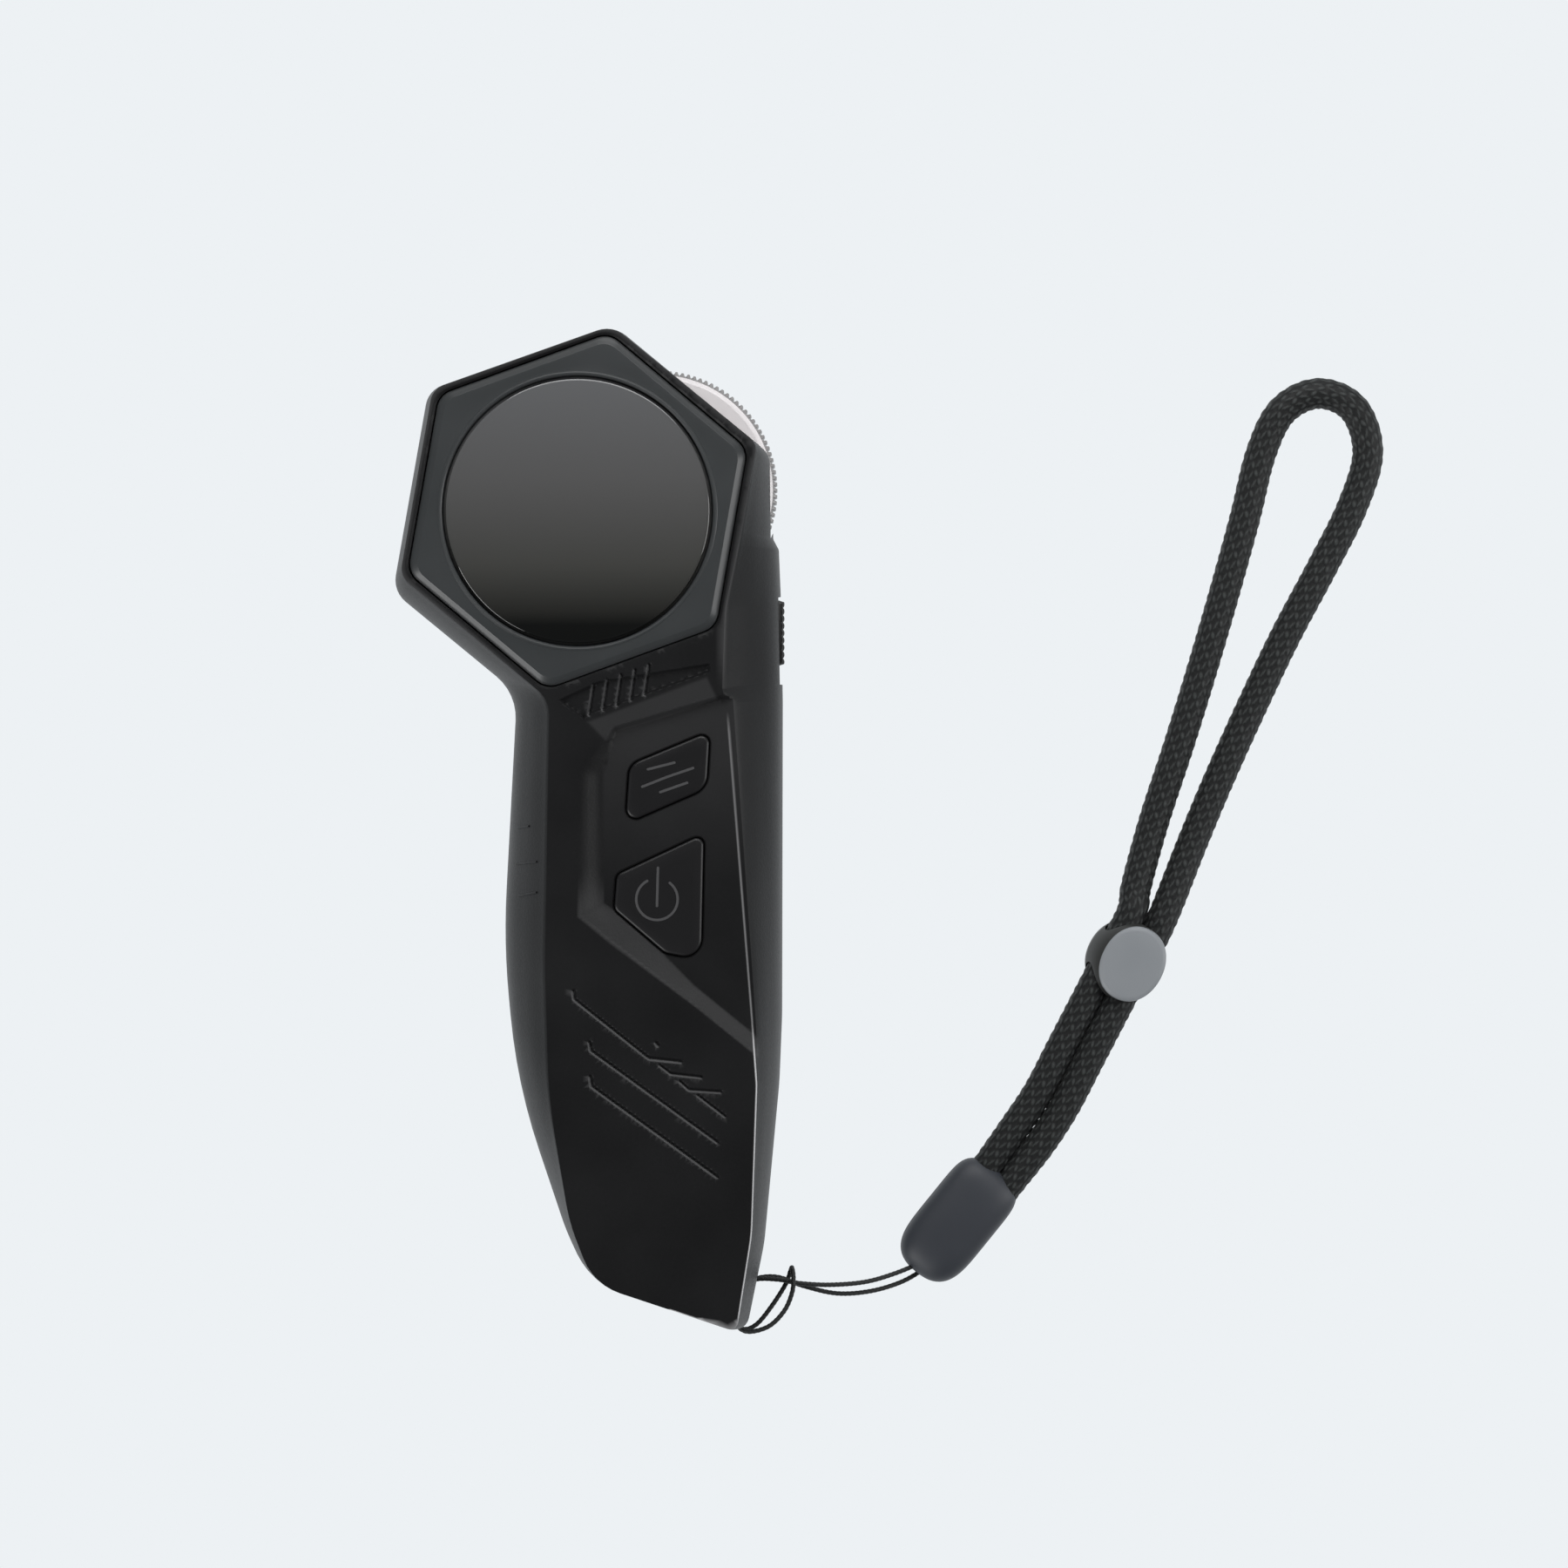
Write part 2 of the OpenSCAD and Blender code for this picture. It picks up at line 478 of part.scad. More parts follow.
front_shell();
back_shell();
bezel_plate();
display_window();
window_gasket();
display_module();
display_ribbon();
main_board();
radio_module();
control_chips();
mode_switch();
power_switch();
mode_key();
power_key();
slide_switch();
slide_lever();
slide_knob();
thumb_wheel();
wheel_bushes();
wheel_axle();
axle_clip();
wheel_magnet();
wheel_spring();
wheel_board();
hall_sensor();
battery_cell();
battery_pads();
battery_lead();
battery_plug();
charge_port();
vibration_motor();
antenna_strip();
case_screws();
thread_inserts();
board_screws();
loop_cord();
end_cap();
wrist_cord();
cord_lock();
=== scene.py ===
"""The looks of the one-hand hand controller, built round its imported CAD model."""
import math

import bmesh
import bpy
import numpy as np
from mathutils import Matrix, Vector, geometry


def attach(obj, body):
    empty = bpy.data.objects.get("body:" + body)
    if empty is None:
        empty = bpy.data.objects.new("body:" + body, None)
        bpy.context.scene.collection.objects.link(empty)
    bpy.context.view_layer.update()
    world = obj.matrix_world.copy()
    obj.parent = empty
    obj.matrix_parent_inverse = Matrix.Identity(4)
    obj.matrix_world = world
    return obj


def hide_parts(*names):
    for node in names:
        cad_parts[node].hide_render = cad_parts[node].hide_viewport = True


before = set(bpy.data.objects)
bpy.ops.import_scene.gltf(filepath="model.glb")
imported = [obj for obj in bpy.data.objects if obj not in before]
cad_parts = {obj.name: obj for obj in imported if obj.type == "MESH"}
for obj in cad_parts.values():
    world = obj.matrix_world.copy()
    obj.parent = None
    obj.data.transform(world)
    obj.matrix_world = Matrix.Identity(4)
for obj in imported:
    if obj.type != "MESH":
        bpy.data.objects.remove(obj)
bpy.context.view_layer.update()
MM = 0.001

# ---- sizes, in millimetres
BODY_T = 34.0
MID_Z = BODY_T / 2
PANEL_Z = BODY_T - 1.2
POCKET_Z = BODY_T - 2.4
DECK_Z = BODY_T - 4.4
WALL = 2.2
DISPLAY = np.array([-1.84, 47.68])
WHEEL = np.array([9.98, 51.23])
WINDOW_R = 20.0
BEZEL_R = 27.0
BEZEL_TURN = 20
MODULE_HOLE_R = 19.3
WHEEL_R = 18.0
WHEEL_T = 10.0
WHEEL_TEETH = 120
KNURL_DEPTH = 0.45
SLIDE_Y = 29.7
SLIDE_TRAVEL = 2.4
KNOB_L, KNOB_W, KNOB_RIBS = 9.8, 6.0, 9
KEY_GAP = 0.15
EDGE_ROUND = 0.25
ARROW_DEPTH, GROOVE_DEPTH, TICK_DEPTH = 0.6, 0.42, 0.4
SCREWS = [(-21.5, 57.3), (-21.3, 36.8), (-2.4, 68.9), (19.8, -63.5), (-3.2, 12.2)]
LANYARD = (25.4, -72.6)
LANYARD_R = 4.4
LANYARD_Z = 11
FINE_SPACING = 0.6
ARC_STEPS = 6
FINGER_EDGE = 3

# Outlines of the handset, counter-clockwise: x, y and corner radius
SIDE = [
    (3.4, 75.95, 4.5), (-24.7, 66, 3.5), (-30, 35.9, 4), (-11.4, 20.6, 8), (-13.4, -17, 110),
    (-11.4, -38.5, 90), (-3.9, -60.5, 40), (-0.3, -67.9, 11), (23.3, -75.7, 1.8), (26, -62.5, 30),
    (28.3, -38, 60), (28.7, -28, 60), (28.8, 19.2, 8), (28.75, 22.5, 8), (28.5, 35, 30),
    (28.2, 42.3, 1), (27.35, 43.9, 1), (27, 56.4, 3.2),
]
FACE = [
    (3.3, 75.4, 4.2), (-23.5, 65.9, 3), (-28.4, 37.9, 3), (-6.2, 19.5, 5), (-6.9, -20, 110),
    (-6.3, -40, 80), (-3.1, -58.5, 30), (0.5, -67.8, 9), (21.9, -74.9, 1.2), (24.2, -60.5, 30),
    (25, -38, 15), (24.3, -28, 15), (20.6, 19.2, 1), (20, 21.2, 1), (20.4, 33, 15),
    (22.3, 42.4, 20), (22.7, 44.5, 20), (25, 57.7, 2.2),
]
# Height above half height, as a part of the half height, and the way from SIDE to FACE there
RISE = [
    (0, 0), (0.04, 0.003), (0.1, 0.01), (0.18, 0.024), (0.27, 0.055), (0.36, 0.1), (0.44, 0.165),
    (0.53, 0.255), (0.61, 0.36), (0.7, 0.485), (0.78, 0.61), (0.85, 0.735), (0.9, 0.83), (0.94, 0.905),
    (0.965, 0.95), (0.985, 0.985), (1, 1.03),
]
INNER_RISE = [(0, 0), (0.36, 0.1), (0.7, 0.49), (0.95, 0.95), (1, 1.03)]
PANEL = [
    (3.9, 14.7), (2.2, 8), (2.2, -10.8), (6.5, -13.8), (15.7, -23.1), (27, -32.3), (34, -32.3),
    (34, 19.6), (19.4, 19.4),
]
PANEL_TOP = [
    (3.6, 15.6), (-1.6, 9), (-2, -13), (3.1, -17.2), (15.7, -26.5), (27, -35.6), (34, -35.6),
    (34, 20.4), (19.4, 20.2),
]
ARROW = [(-4.9, 19.4), (-0.9, 16.4), (-0.5, 17.1), (18, 23.6), (18, 25), (1.3, 22.3)]
MODE_KEY = [(5.3, 1, 1.4), (17.4, 6.3, 3), (17.9, 14.8, 1.2), (5.9, 9.8, 2.5)]
POWER_KEY = [(4, -6.6, 1.4), (3.6, -11.8, 1.4), (11.2, -18.3, 2.6), (16.6, -19.3, 2.6), (17, -0.5, 1.1)]
KEYS = (MODE_KEY, POWER_KEY)
# Printed lines: three slanting ones, and an open ring with a line through its gap
MODE_ICON = [[(8.65, 9.1), (12.6, 10.1)], [(7.8, 6.5), (11.6, 8.0), (15.4, 9.3)], [(10.5, 5.7), (14.5, 7.1)]]
RING = [(10 + 3.1 * math.cos(t), -10.3 + 3.1 * math.sin(t)) for t in np.radians(np.linspace(118, 412, 30))]
POWER_ICON = [RING, [(10.15, -5.6), (10, -11.3)]]
# Engraved lines of the lower face and their half widths
GROOVES = [
    ([(-2.4, -24), (-2.3, -25.2), (8.8, -34), (13.6, -34.5)], 0.4),
    ([(10, -31.8), (10.1, -32)], 0.45),
    ([(10.5, -35.1), (12.1, -36.3), (16.6, -36.8)], 0.35),
    ([(13.5, -37.5), (14.8, -38.7), (19.5, -39)], 0.35),
    ([(16.2, -39.6), (20.1, -42.6)], 0.35),
    ([(0, -31.7), (0.2, -32.9), (19, -46.5)], 0.4),
    ([(0.1, -36.8), (0.3, -38.2), (19, -51.7)], 0.4),
]
# The band between the arrow and the key panel, painted lighter as a highlight
BROW = [(-0.85, 16.3), (2.3, 13), (19.4, 19.4), (17.6, 23.2)]
TICKS = [([(0.6 + 2.07 * i, 21.7 + 0.75 * i), (-0.1 + 2.07 * i, 17.3 + 0.75 * i)], 0.32) for i in range(5)]
FLANK_TICKS = [((-11, 0.3), (-9.2, 0.6)), ((-11.2, -5.1), (-8, -4.7)), ((-10.8, -9.9), (-8, -9.3))]

# Cords, within a millimetre of their paths in the CAD model
STRAND_A = math.radians(62.5)
LOCK_AT = np.array([80.9, -19.9])
STRAND_OFF = 2.3
STRAND_Z = 4
CORD_D = 4.6
LOOP_D = 0.7
LOWEST_CORD_Z = 2.45
BRAID_SWELL, BRAID_DEPTH = 0.1, 0.16
BRAID_STRANDS, BRAID_PITCH = 20, 1.6
TWIST_PITCH = 1.4


def placed(at, angle, x, y):
    """Plane point x along a direction from at, and y to the left of it."""
    c, s = math.cos(angle), math.sin(angle)
    return at[0] + c * x - s * y, at[1] + s * x + c * y


def on_strand(d, side, z):
    """A point of one of the two parallel strands, d along them from the cord lock."""
    return (*placed(LOCK_AT, STRAND_A, d, -side * STRAND_OFF), z)


WRIST = [
    (57.4, -55.4, 3.8), (59.8, -51.8, 3.9), (63.9, -45.9, STRAND_Z),
    *[on_strand(d, -1, STRAND_Z) for d in (-24, -16, -8, 0, 7)],
    (82.8, -8.6, 3.2), (85.6, 1.5, 2.4), (89.2, 12.5, 2.4), (92.6, 23.5, 2.4),
    (96.1, 35.5, 2.4), (99.4, 47.5, 2.4), (101.9, 57.5, 2.4),
    (105.2, 64, 2.4), (110.7, 66.6, 2.4), (116.1, 64.2, 2.4), (118.2, 57.5, 2.4),
    (115.8, 49.2, 2.4), (111.2, 40, 2.4), (105.6, 29.5, 2.4), (100.4, 18.6, 2.4),
    (95.6, 8, 2.4), (91.4, -2, 2.7), on_strand(8, 1, 3.7),
    *[on_strand(d, 1, STRAND_Z) for d in (0, -8, -16, -24)],
    (68.2, -47.9, STRAND_Z), (64.1, -53.1, 3.9), (61.2, -56.7, 3.8),
]
LOOP = [
    (52.4, -64.4, 4.3), (49.6, -66.2, 4.6), (45.6, -67.8, 6), (41.2, -68.9, 8), (36, -69.2, 10.1),
    (31.4, -68.9, 11.3), (28, -68.3, 11.7), (24.6, -68.3, 11.7), (22.2, -69.6, 11.7), (21, -72.3, 11.7),
    (21.6, -74.9, 11.7), (23.4, -76.2, 11.9), (26.6, -75.4, 12.3), (29, -73, 12.8), (30.2, -70.2, 13.1),
    (30.4, -68, 12.6), (30.2, -66.6, 11.2), (30, -67, 9.6), (29.2, -69.2, 9.1), (27, -72.6, 9.6),
    (24.8, -75.2, 10), (22.8, -75.9, 10.3), (21.2, -74.4, 10.3), (21, -72, 10.3), (22.4, -69.4, 10.3),
    (24.8, -68.2, 10.3), (28, -68, 10.4), (32, -69.4, 10), (37, -70.6, 8.4), (42, -70.4, 6.4),
    (46.6, -69.2, 4.4), (50, -67.4, 3.3), (53, -65.2, 3),
]
CAP_AT = np.array([55.4, -59.8])
CAP_A = math.radians(51)
CAP_L, CAP_W, CAP_T = 20.0, 11.0, 7.6
LOCK_T = 8.0


# ---- plane geometry
def unit(v):
    return v / np.linalg.norm(v)


def unit_rows(v):
    return v / np.linalg.norm(v, axis=1)[:, None]


def lengths(path):
    """Length of the path up to each of its points."""
    return np.r_[0, np.cumsum(np.linalg.norm(np.diff(path, axis=0), axis=1))]


def corner_of(a, b, c):
    """Corner b, the directions to its neighbours a and c, and half the angle between them."""
    p = np.array(b[:2], float)
    u, v = [unit(np.array(q[:2], float) - p) for q in (a, c)]
    return p, u, v, math.acos(max(-1, min(1, float(u @ v)))) / 2


def corner_arc(a, b, c, steps):
    """Points of the arc that rounds corner b between neighbours a and c."""
    p, u, v, half = corner_of(a, b, c)
    centre = p + unit(u + v) * b[2] / math.sin(half)
    s = p + u * b[2] / math.tan(half) - centre
    e = p + v * b[2] / math.tan(half) - centre
    sweep = math.pi - 2 * half
    turns = [sweep * i / steps for i in range(steps + 1)]
    return [centre + (s * math.sin(sweep - t) + e * math.sin(t)) / math.sin(sweep) for t in turns]


def outline(corners, steps, spacing=None, counts=None):
    """A rounded polygon. Straight stretches are cut into counts[i] pieces, or by spacing."""
    n = len(corners)
    arcs = [corner_arc(corners[i - 1], corners[i], corners[(i + 1) % n], steps) for i in range(n)]
    pts, used = [], []
    for i in range(n):
        pts += arcs[i]
        a, b = arcs[i][-1], arcs[(i + 1) % n][0]
        k = counts[i] if counts else (max(1, round(np.linalg.norm(b - a) / spacing)) if spacing else 1)
        used.append(k)
        pts += [a + (b - a) * j / k for j in range(1, k)]
    return np.array(pts), used


def inset(corners, d):
    """Corners moved inwards by d on a counter-clockwise outline."""
    n = len(corners)
    out = []
    for i in range(n):
        p, u, v, half = corner_of(corners[i - 1], corners[i], corners[(i + 1) % n])
        convex = v[0] * u[1] - v[1] * u[0] > 0
        m = unit(u + v) * d / math.sin(half)
        q = p + m if convex else p - m
        out.append((q[0], q[1], max(0.3, corners[i][2] + (-d if convex else d))))
    return out


def seg_distance(p, a, b):
    """Distance from each point of p to the stretch a-b."""
    a, b = np.array(a, float), np.array(b, float)
    t = np.clip(((p - a) @ (b - a)) / max(1e-9, (b - a) @ (b - a)), 0, 1)
    return np.linalg.norm(p - a - t[:, None] * (b - a), axis=1)


def line_distance(p, pts):
    return np.min([seg_distance(p, a, b) for a, b in zip(pts, pts[1:])], axis=0)


def closed(pts):
    return [*pts, pts[0]]


def inside(p, poly):
    """Whether each point lies in the polygon."""
    hit = np.zeros(len(p), bool)
    for i in range(len(poly)):
        (x0, y0), (x1, y1) = poly[i - 1], poly[i]
        crosses = (y0 > p[:, 1]) != (y1 > p[:, 1])
        with np.errstate(divide="ignore", invalid="ignore"):
            hit ^= crosses & (p[:, 0] < (x1 - x0) * (p[:, 1] - y0) / (y1 - y0 + 1e-12) + x0)
    return hit


def signed(p, poly):
    """Distance to a polygon's edge, negative inside."""
    d = line_distance(p, closed(poly))
    return np.where(inside(p, poly), -d, d)


def circle(at, r, ang):
    """Points at angles ang round at. r is one radius, or one for each angle."""
    return np.stack([at[0] + r * np.cos(ang), at[1] + r * np.sin(ang)], axis=1)


def turn(n):
    """n equal angles of a full turn."""
    return np.arange(n) * 2 * math.pi / n


def level(xy, z):
    """Plane points raised to one height."""
    return np.column_stack([xy, np.full(len(xy), z)])


def blunt(v, power):
    """v to a power, with its sign kept."""
    return np.sign(v) * np.abs(v) ** power


def smoothstep(t):
    t = np.clip(t, 0, 1)
    return t * t * (3 - 2 * t)


def hexagon(r, corner=3.4):
    angles = [math.radians(BEZEL_TURN + 60 * i) for i in range(6)]
    return [(DISPLAY[0] + r * math.cos(a), DISPLAY[1] + r * math.sin(a), corner) for a in angles]


def catmull(pts, steps):
    """A smooth path through pts, with steps points on each stretch."""
    p = np.array(pts, float)
    out = []
    for i in range(len(p) - 1):
        a, b, c, d = p[max(i - 1, 0)], p[i], p[i + 1], p[min(i + 2, len(p) - 1)]
        for k in range(steps):
            t = k / steps
            out.append(0.5 * (2 * b + (c - a) * t + (2 * a - 5 * b + 4 * c - d) * t * t
                              + (3 * b - a - 3 * c + d) * t ** 3))
    out.append(p[-1])
    return np.array(out)


def resample(path, n):
    """n points at equal steps along a path."""
    step = lengths(path)
    s = np.linspace(0, step[-1], n)
    return np.stack([np.interp(s, step, path[:, k]) for k in range(3)], axis=1), step[-1]


# ---- meshes
def add_object(name, data):
    obj = bpy.data.objects.new(name, data)
    bpy.context.scene.collection.objects.link(obj)
    return obj


def bare_mesh(name, verts, faces):
    """A mesh object from points in millimetres, its faces turned outwards."""
    mesh = bpy.data.meshes.new(name)
    points = [tuple(float(c) * MM for c in v) for v in verts]
    mesh.from_pydata(points, [], [tuple(int(i) for i in f) for f in faces])
    mesh.validate()
    bm = bmesh.new()
    bm.from_mesh(mesh)
    bmesh.ops.recalc_face_normals(bm, faces=bm.faces)
    bm.to_mesh(mesh)
    bm.free()
    return add_object(name, mesh)


def add_mesh(name, verts, faces, material, sharp_deg=32):
    """A mesh piece with a material, smooth but for edges over sharp_deg."""
    obj = bare_mesh(name, verts, faces)
    obj.data.materials.append(material)
    shade(obj, sharp_deg)
    return obj


def shade(obj, sharp_deg):
    obj.data.polygons.foreach_set("use_smooth", [True] * len(obj.data.polygons))
    obj.data.set_sharp_from_angle(angle=math.radians(sharp_deg))


def seam(low, high):
    """Quads between two closed rows of point numbers."""
    n = len(low)
    return [(low[i], low[(i + 1) % n], high[(i + 1) % n], high[i]) for i in range(n)]


def strip(a, b, n):
    """Quads between two rings of n points that start at a and b."""
    return seam(range(a, a + n), range(b, b + n))


def prism_faces(n):
    """Sides and both ends of a prism whose two rings of n points follow each other."""
    return strip(0, n, n) + [tuple(range(n - 1, -1, -1)), tuple(range(n, 2 * n))]


def bands(base, n, count):
    """Sides between count rings of n points that start at base."""
    faces = []
    for k in range(count - 1):
        faces += strip(base + k * n, base + (k + 1) * n, n)
    return faces


def loft(rings, name, material, closed_loop=False, sharp_deg=32):
    """Skin through rings of equal count. closed_loop joins the last ring to the first."""
    n = len(rings[0])
    last = (len(rings) - 1) * n
    faces = bands(0, n, len(rings))
    if closed_loop:
        faces += strip(last, 0, n)
    else:
        faces += [tuple(range(n - 1, -1, -1)), tuple(range(last, last + n))]
    return add_mesh(name, np.concatenate(rings), faces, material, sharp_deg)


def revolve(profile, centre, name, material, n, shape=None, sharp_deg=32):
    """A closed profile of (radius, z) turned round a vertical axis. shape(r, angles) changes the radius."""
    ang = turn(n)
    rings = []
    for r, z in profile:
        rr = shape(r, ang) if shape else np.full(n, float(r))
        rings.append(level(circle(centre, rr, ang), z))
    return loft(rings, name, material, closed_loop=True, sharp_deg=sharp_deg)


def outline_cutter(pts, z0, z1):
    verts = [(*p, z) for z in (z0, z1) for p in pts]
    return bare_mesh("cut", verts, prism_faces(len(pts)))


def disc_cutter(at, r, z0, z1, n):
    return outline_cutter([(at[0] + r * math.cos(a), at[1] + r * math.sin(a)) for a in turn(n)], z0, z1)


def box_cutter(lo, hi, degrees=0.0, at=(0, 0)):
    corners = ((lo[0], lo[1]), (hi[0], lo[1]), (hi[0], hi[1]), (lo[0], hi[1]))
    base = [placed(at, math.radians(degrees), x, y) for x, y in corners]
    verts = [(*p, z) for z in (lo[2], hi[2]) for p in base]
    return bare_mesh("cut", verts, [(3, 2, 1, 0), (4, 5, 6, 7), *strip(0, 4, 4)])


def point_values(obj, name, values):
    obj.data.attributes.new(name, "FLOAT", "POINT").data.foreach_set("value", values)


def carve(obj, cutters):
    """Cuts the cutters out of obj and removes them."""
    for c in cutters:
        mod = obj.modifiers.new("cut", "BOOLEAN")
        mod.operation = "DIFFERENCE"
        mod.solver = "EXACT"
        mod.object = c
    bpy.context.view_layer.update()
    deps = bpy.context.evaluated_depsgraph_get()
    mesh = bpy.data.meshes.new_from_object(obj.evaluated_get(deps))
    obj.modifiers.clear()
    old = obj.data
    obj.data = mesh
    bpy.data.meshes.remove(old)
    for c in cutters:
        bpy.data.objects.remove(c, do_unlink=True)


# ---- materials
def new_material(name):
    mat = bpy.data.materials.new(name)
    mat.use_nodes = True
    nt = mat.node_tree
    return mat, nt, nt.nodes["Principled BSDF"]


def coords(nt):
    """Object coordinates in millimetres."""
    tex = nt.nodes.new("ShaderNodeTexCoord")
    mul = nt.nodes.new("ShaderNodeVectorMath")
    mul.operation = "SCALE"
    mul.inputs["Scale"].default_value = 1 / MM
    nt.links.new(tex.outputs["Object"], mul.inputs[0])
    return mul.outputs[0]


def noise(nt, vec, scale, detail, rough=0.55):
    node = nt.nodes.new("ShaderNodeTexNoise")
    node.inputs["Scale"].default_value = scale
    node.inputs["Detail"].default_value = detail
    node.inputs["Roughness"].default_value = rough
    nt.links.new(vec, node.inputs["Vector"])
    return node.outputs["Fac"]


def ramp(nt, fac, stops):
    node = nt.nodes.new("ShaderNodeValToRGB")
    els = node.color_ramp.elements
    while len(els) < len(stops):
        els.new(0.5)
    for el, (pos, col) in zip(els, stops):
        el.position = pos
        el.color = (*col, 1)
    nt.links.new(fac, node.inputs["Fac"])
    return node.outputs["Color"]


def mapped(nt, fac, lo, hi):
    node = nt.nodes.new("ShaderNodeMapRange")
    node.inputs["To Min"].default_value = lo
    node.inputs["To Max"].default_value = hi
    nt.links.new(fac, node.inputs["Value"])
    return node.outputs["Result"]


def bump(nt, bsdf, height, strength, distance_mm):
    node = nt.nodes.new("ShaderNodeBump")
    node.inputs["Strength"].default_value = strength
    node.inputs["Distance"].default_value = distance_mm * MM
    nt.links.new(height, node.inputs["Height"])
    nt.links.new(node.outputs["Normal"], bsdf.inputs["Normal"])


def plastic(name, dark, light, rough, grain, bump_mm, strength, gloss=0.5):
    """Any plain surface, such as moulded plastic, with a fine grain and slight shade changes."""
    mat, nt, bsdf = new_material(name)
    vec = coords(nt)
    fine = noise(nt, vec, grain, 4.0, 0.6)
    broad = noise(nt, vec, 0.06, 2.0, 0.5)
    nt.links.new(ramp(nt, broad, [(0.3, dark), (0.7, light)]), bsdf.inputs["Base Color"])
    bsdf.inputs["Specular IOR Level"].default_value = gloss
    nt.links.new(mapped(nt, fine, *rough), bsdf.inputs["Roughness"])
    bump(nt, bsdf, fine, strength, bump_mm)
    return mat


def painted_highlight(mat):
    """Painted highlight: where the mesh's highlight value is above zero, the surface is painted lighter and
    smoother.
    """
    nt = mat.node_tree
    bsdf = nt.nodes["Principled BSDF"]
    highlight_amount = nt.nodes.new("ShaderNodeAttribute")
    highlight_amount.attribute_name = "painted_highlight"
    for socket, value in (("Base Color", (0.62, 0.62, 0.63, 1)), ("Roughness", (0.3, 0.3, 0.3, 1))):
        mix = nt.nodes.new("ShaderNodeMix")
        mix.data_type = "RGBA"
        nt.links.new(highlight_amount.outputs["Fac"], mix.inputs[0])
        nt.links.new(bsdf.inputs[socket].links[0].from_socket, mix.inputs[6])
        mix.inputs[7].default_value = value
        nt.links.new(mix.outputs[2], bsdf.inputs[socket])


def metal(name, col, rough, scale, grain):
    """Turned or plated metal with fine tool marks."""
    mat, nt, bsdf = new_material(name)
    vec = coords(nt)
    stretch = nt.nodes.new("ShaderNodeVectorMath")
    stretch.operation = "MULTIPLY"
    stretch.inputs[1].default_value = scale
    nt.links.new(vec, stretch.inputs[0])
    marks = noise(nt, stretch.outputs[0], grain, 3.0, 0.6)
    low = tuple(c * 0.86 for c in col)
    nt.links.new(ramp(nt, marks, [(0.3, low), (0.7, col)]), bsdf.inputs["Base Color"])
    nt.links.new(mapped(nt, marks, *rough), bsdf.inputs["Roughness"])
    bsdf.inputs["Metallic"].default_value = 1.0
    bump(nt, bsdf, marks, 0.15, 0.02)
    return mat


def window_material():
    """Dark glass over a round screen, with a painted reflection: grey at its top edge and black at its
    bottom.
    """
    mat, nt, bsdf = new_material("window_glass")
    tex = nt.nodes.new("ShaderNodeTexCoord")
    sep = nt.nodes.new("ShaderNodeSeparateXYZ")
    nt.links.new(tex.outputs["Object"], sep.inputs[0])
    height = nt.nodes.new("ShaderNodeMapRange")
    height.inputs["From Min"].default_value = (DISPLAY[1] - WINDOW_R) * MM
    height.inputs["From Max"].default_value = (DISPLAY[1] + WINDOW_R) * MM
    nt.links.new(sep.outputs["Y"], height.inputs["Value"])
    # Painted reflection, from near black at the bottom to grey at the top
    col = ramp(nt, height.outputs["Result"], [
        (0.0, (0.0035, 0.0038, 0.0035)), (0.075, (0.0042, 0.0045, 0.0042)), (0.125, (0.016, 0.016, 0.0145)),
        (0.3, (0.046, 0.046, 0.043)), (0.62, (0.079, 0.079, 0.079)), (1.0, (0.104, 0.106, 0.11)),
    ])
    nt.links.new(col, bsdf.inputs["Base Color"])
    smear = noise(nt, coords(nt), 0.15, 2.0)
    nt.links.new(mapped(nt, smear, 0.05, 0.09), bsdf.inputs["Roughness"])
    bsdf.inputs["IOR"].default_value = 1.5
    return mat


def braid_material(name, base, light):
    """Tight braid: dark fibres with a slight sheen, and a painted highlight along each strand's crown."""
    mat, nt, bsdf = new_material(name)
    vec = coords(nt)
    fibre = noise(nt, vec, 5.0, 4.0, 0.7)
    crown = nt.nodes.new("ShaderNodeAttribute")
    crown.attribute_name = "crown"
    both = nt.nodes.new("ShaderNodeMath")
    both.operation = "MULTIPLY"
    nt.links.new(mapped(nt, fibre, 0.4, 1.2), both.inputs[0])
    nt.links.new(crown.outputs["Fac"], both.inputs[1])
    # Painted highlight: the crowns get the lighter colour
    nt.links.new(ramp(nt, both.outputs[0], [(0.3, base), (0.85, light)]), bsdf.inputs["Base Color"])
    nt.links.new(mapped(nt, fibre, 0.45, 0.7), bsdf.inputs["Roughness"])
    bsdf.inputs["Sheen Weight"].default_value = 0.06
    bsdf.inputs["Specular IOR Level"].default_value = 0.3
    bsdf.inputs["Sheen Roughness"].default_value = 0.5
    bump(nt, bsdf, fibre, 0.5, 0.06)
    return mat


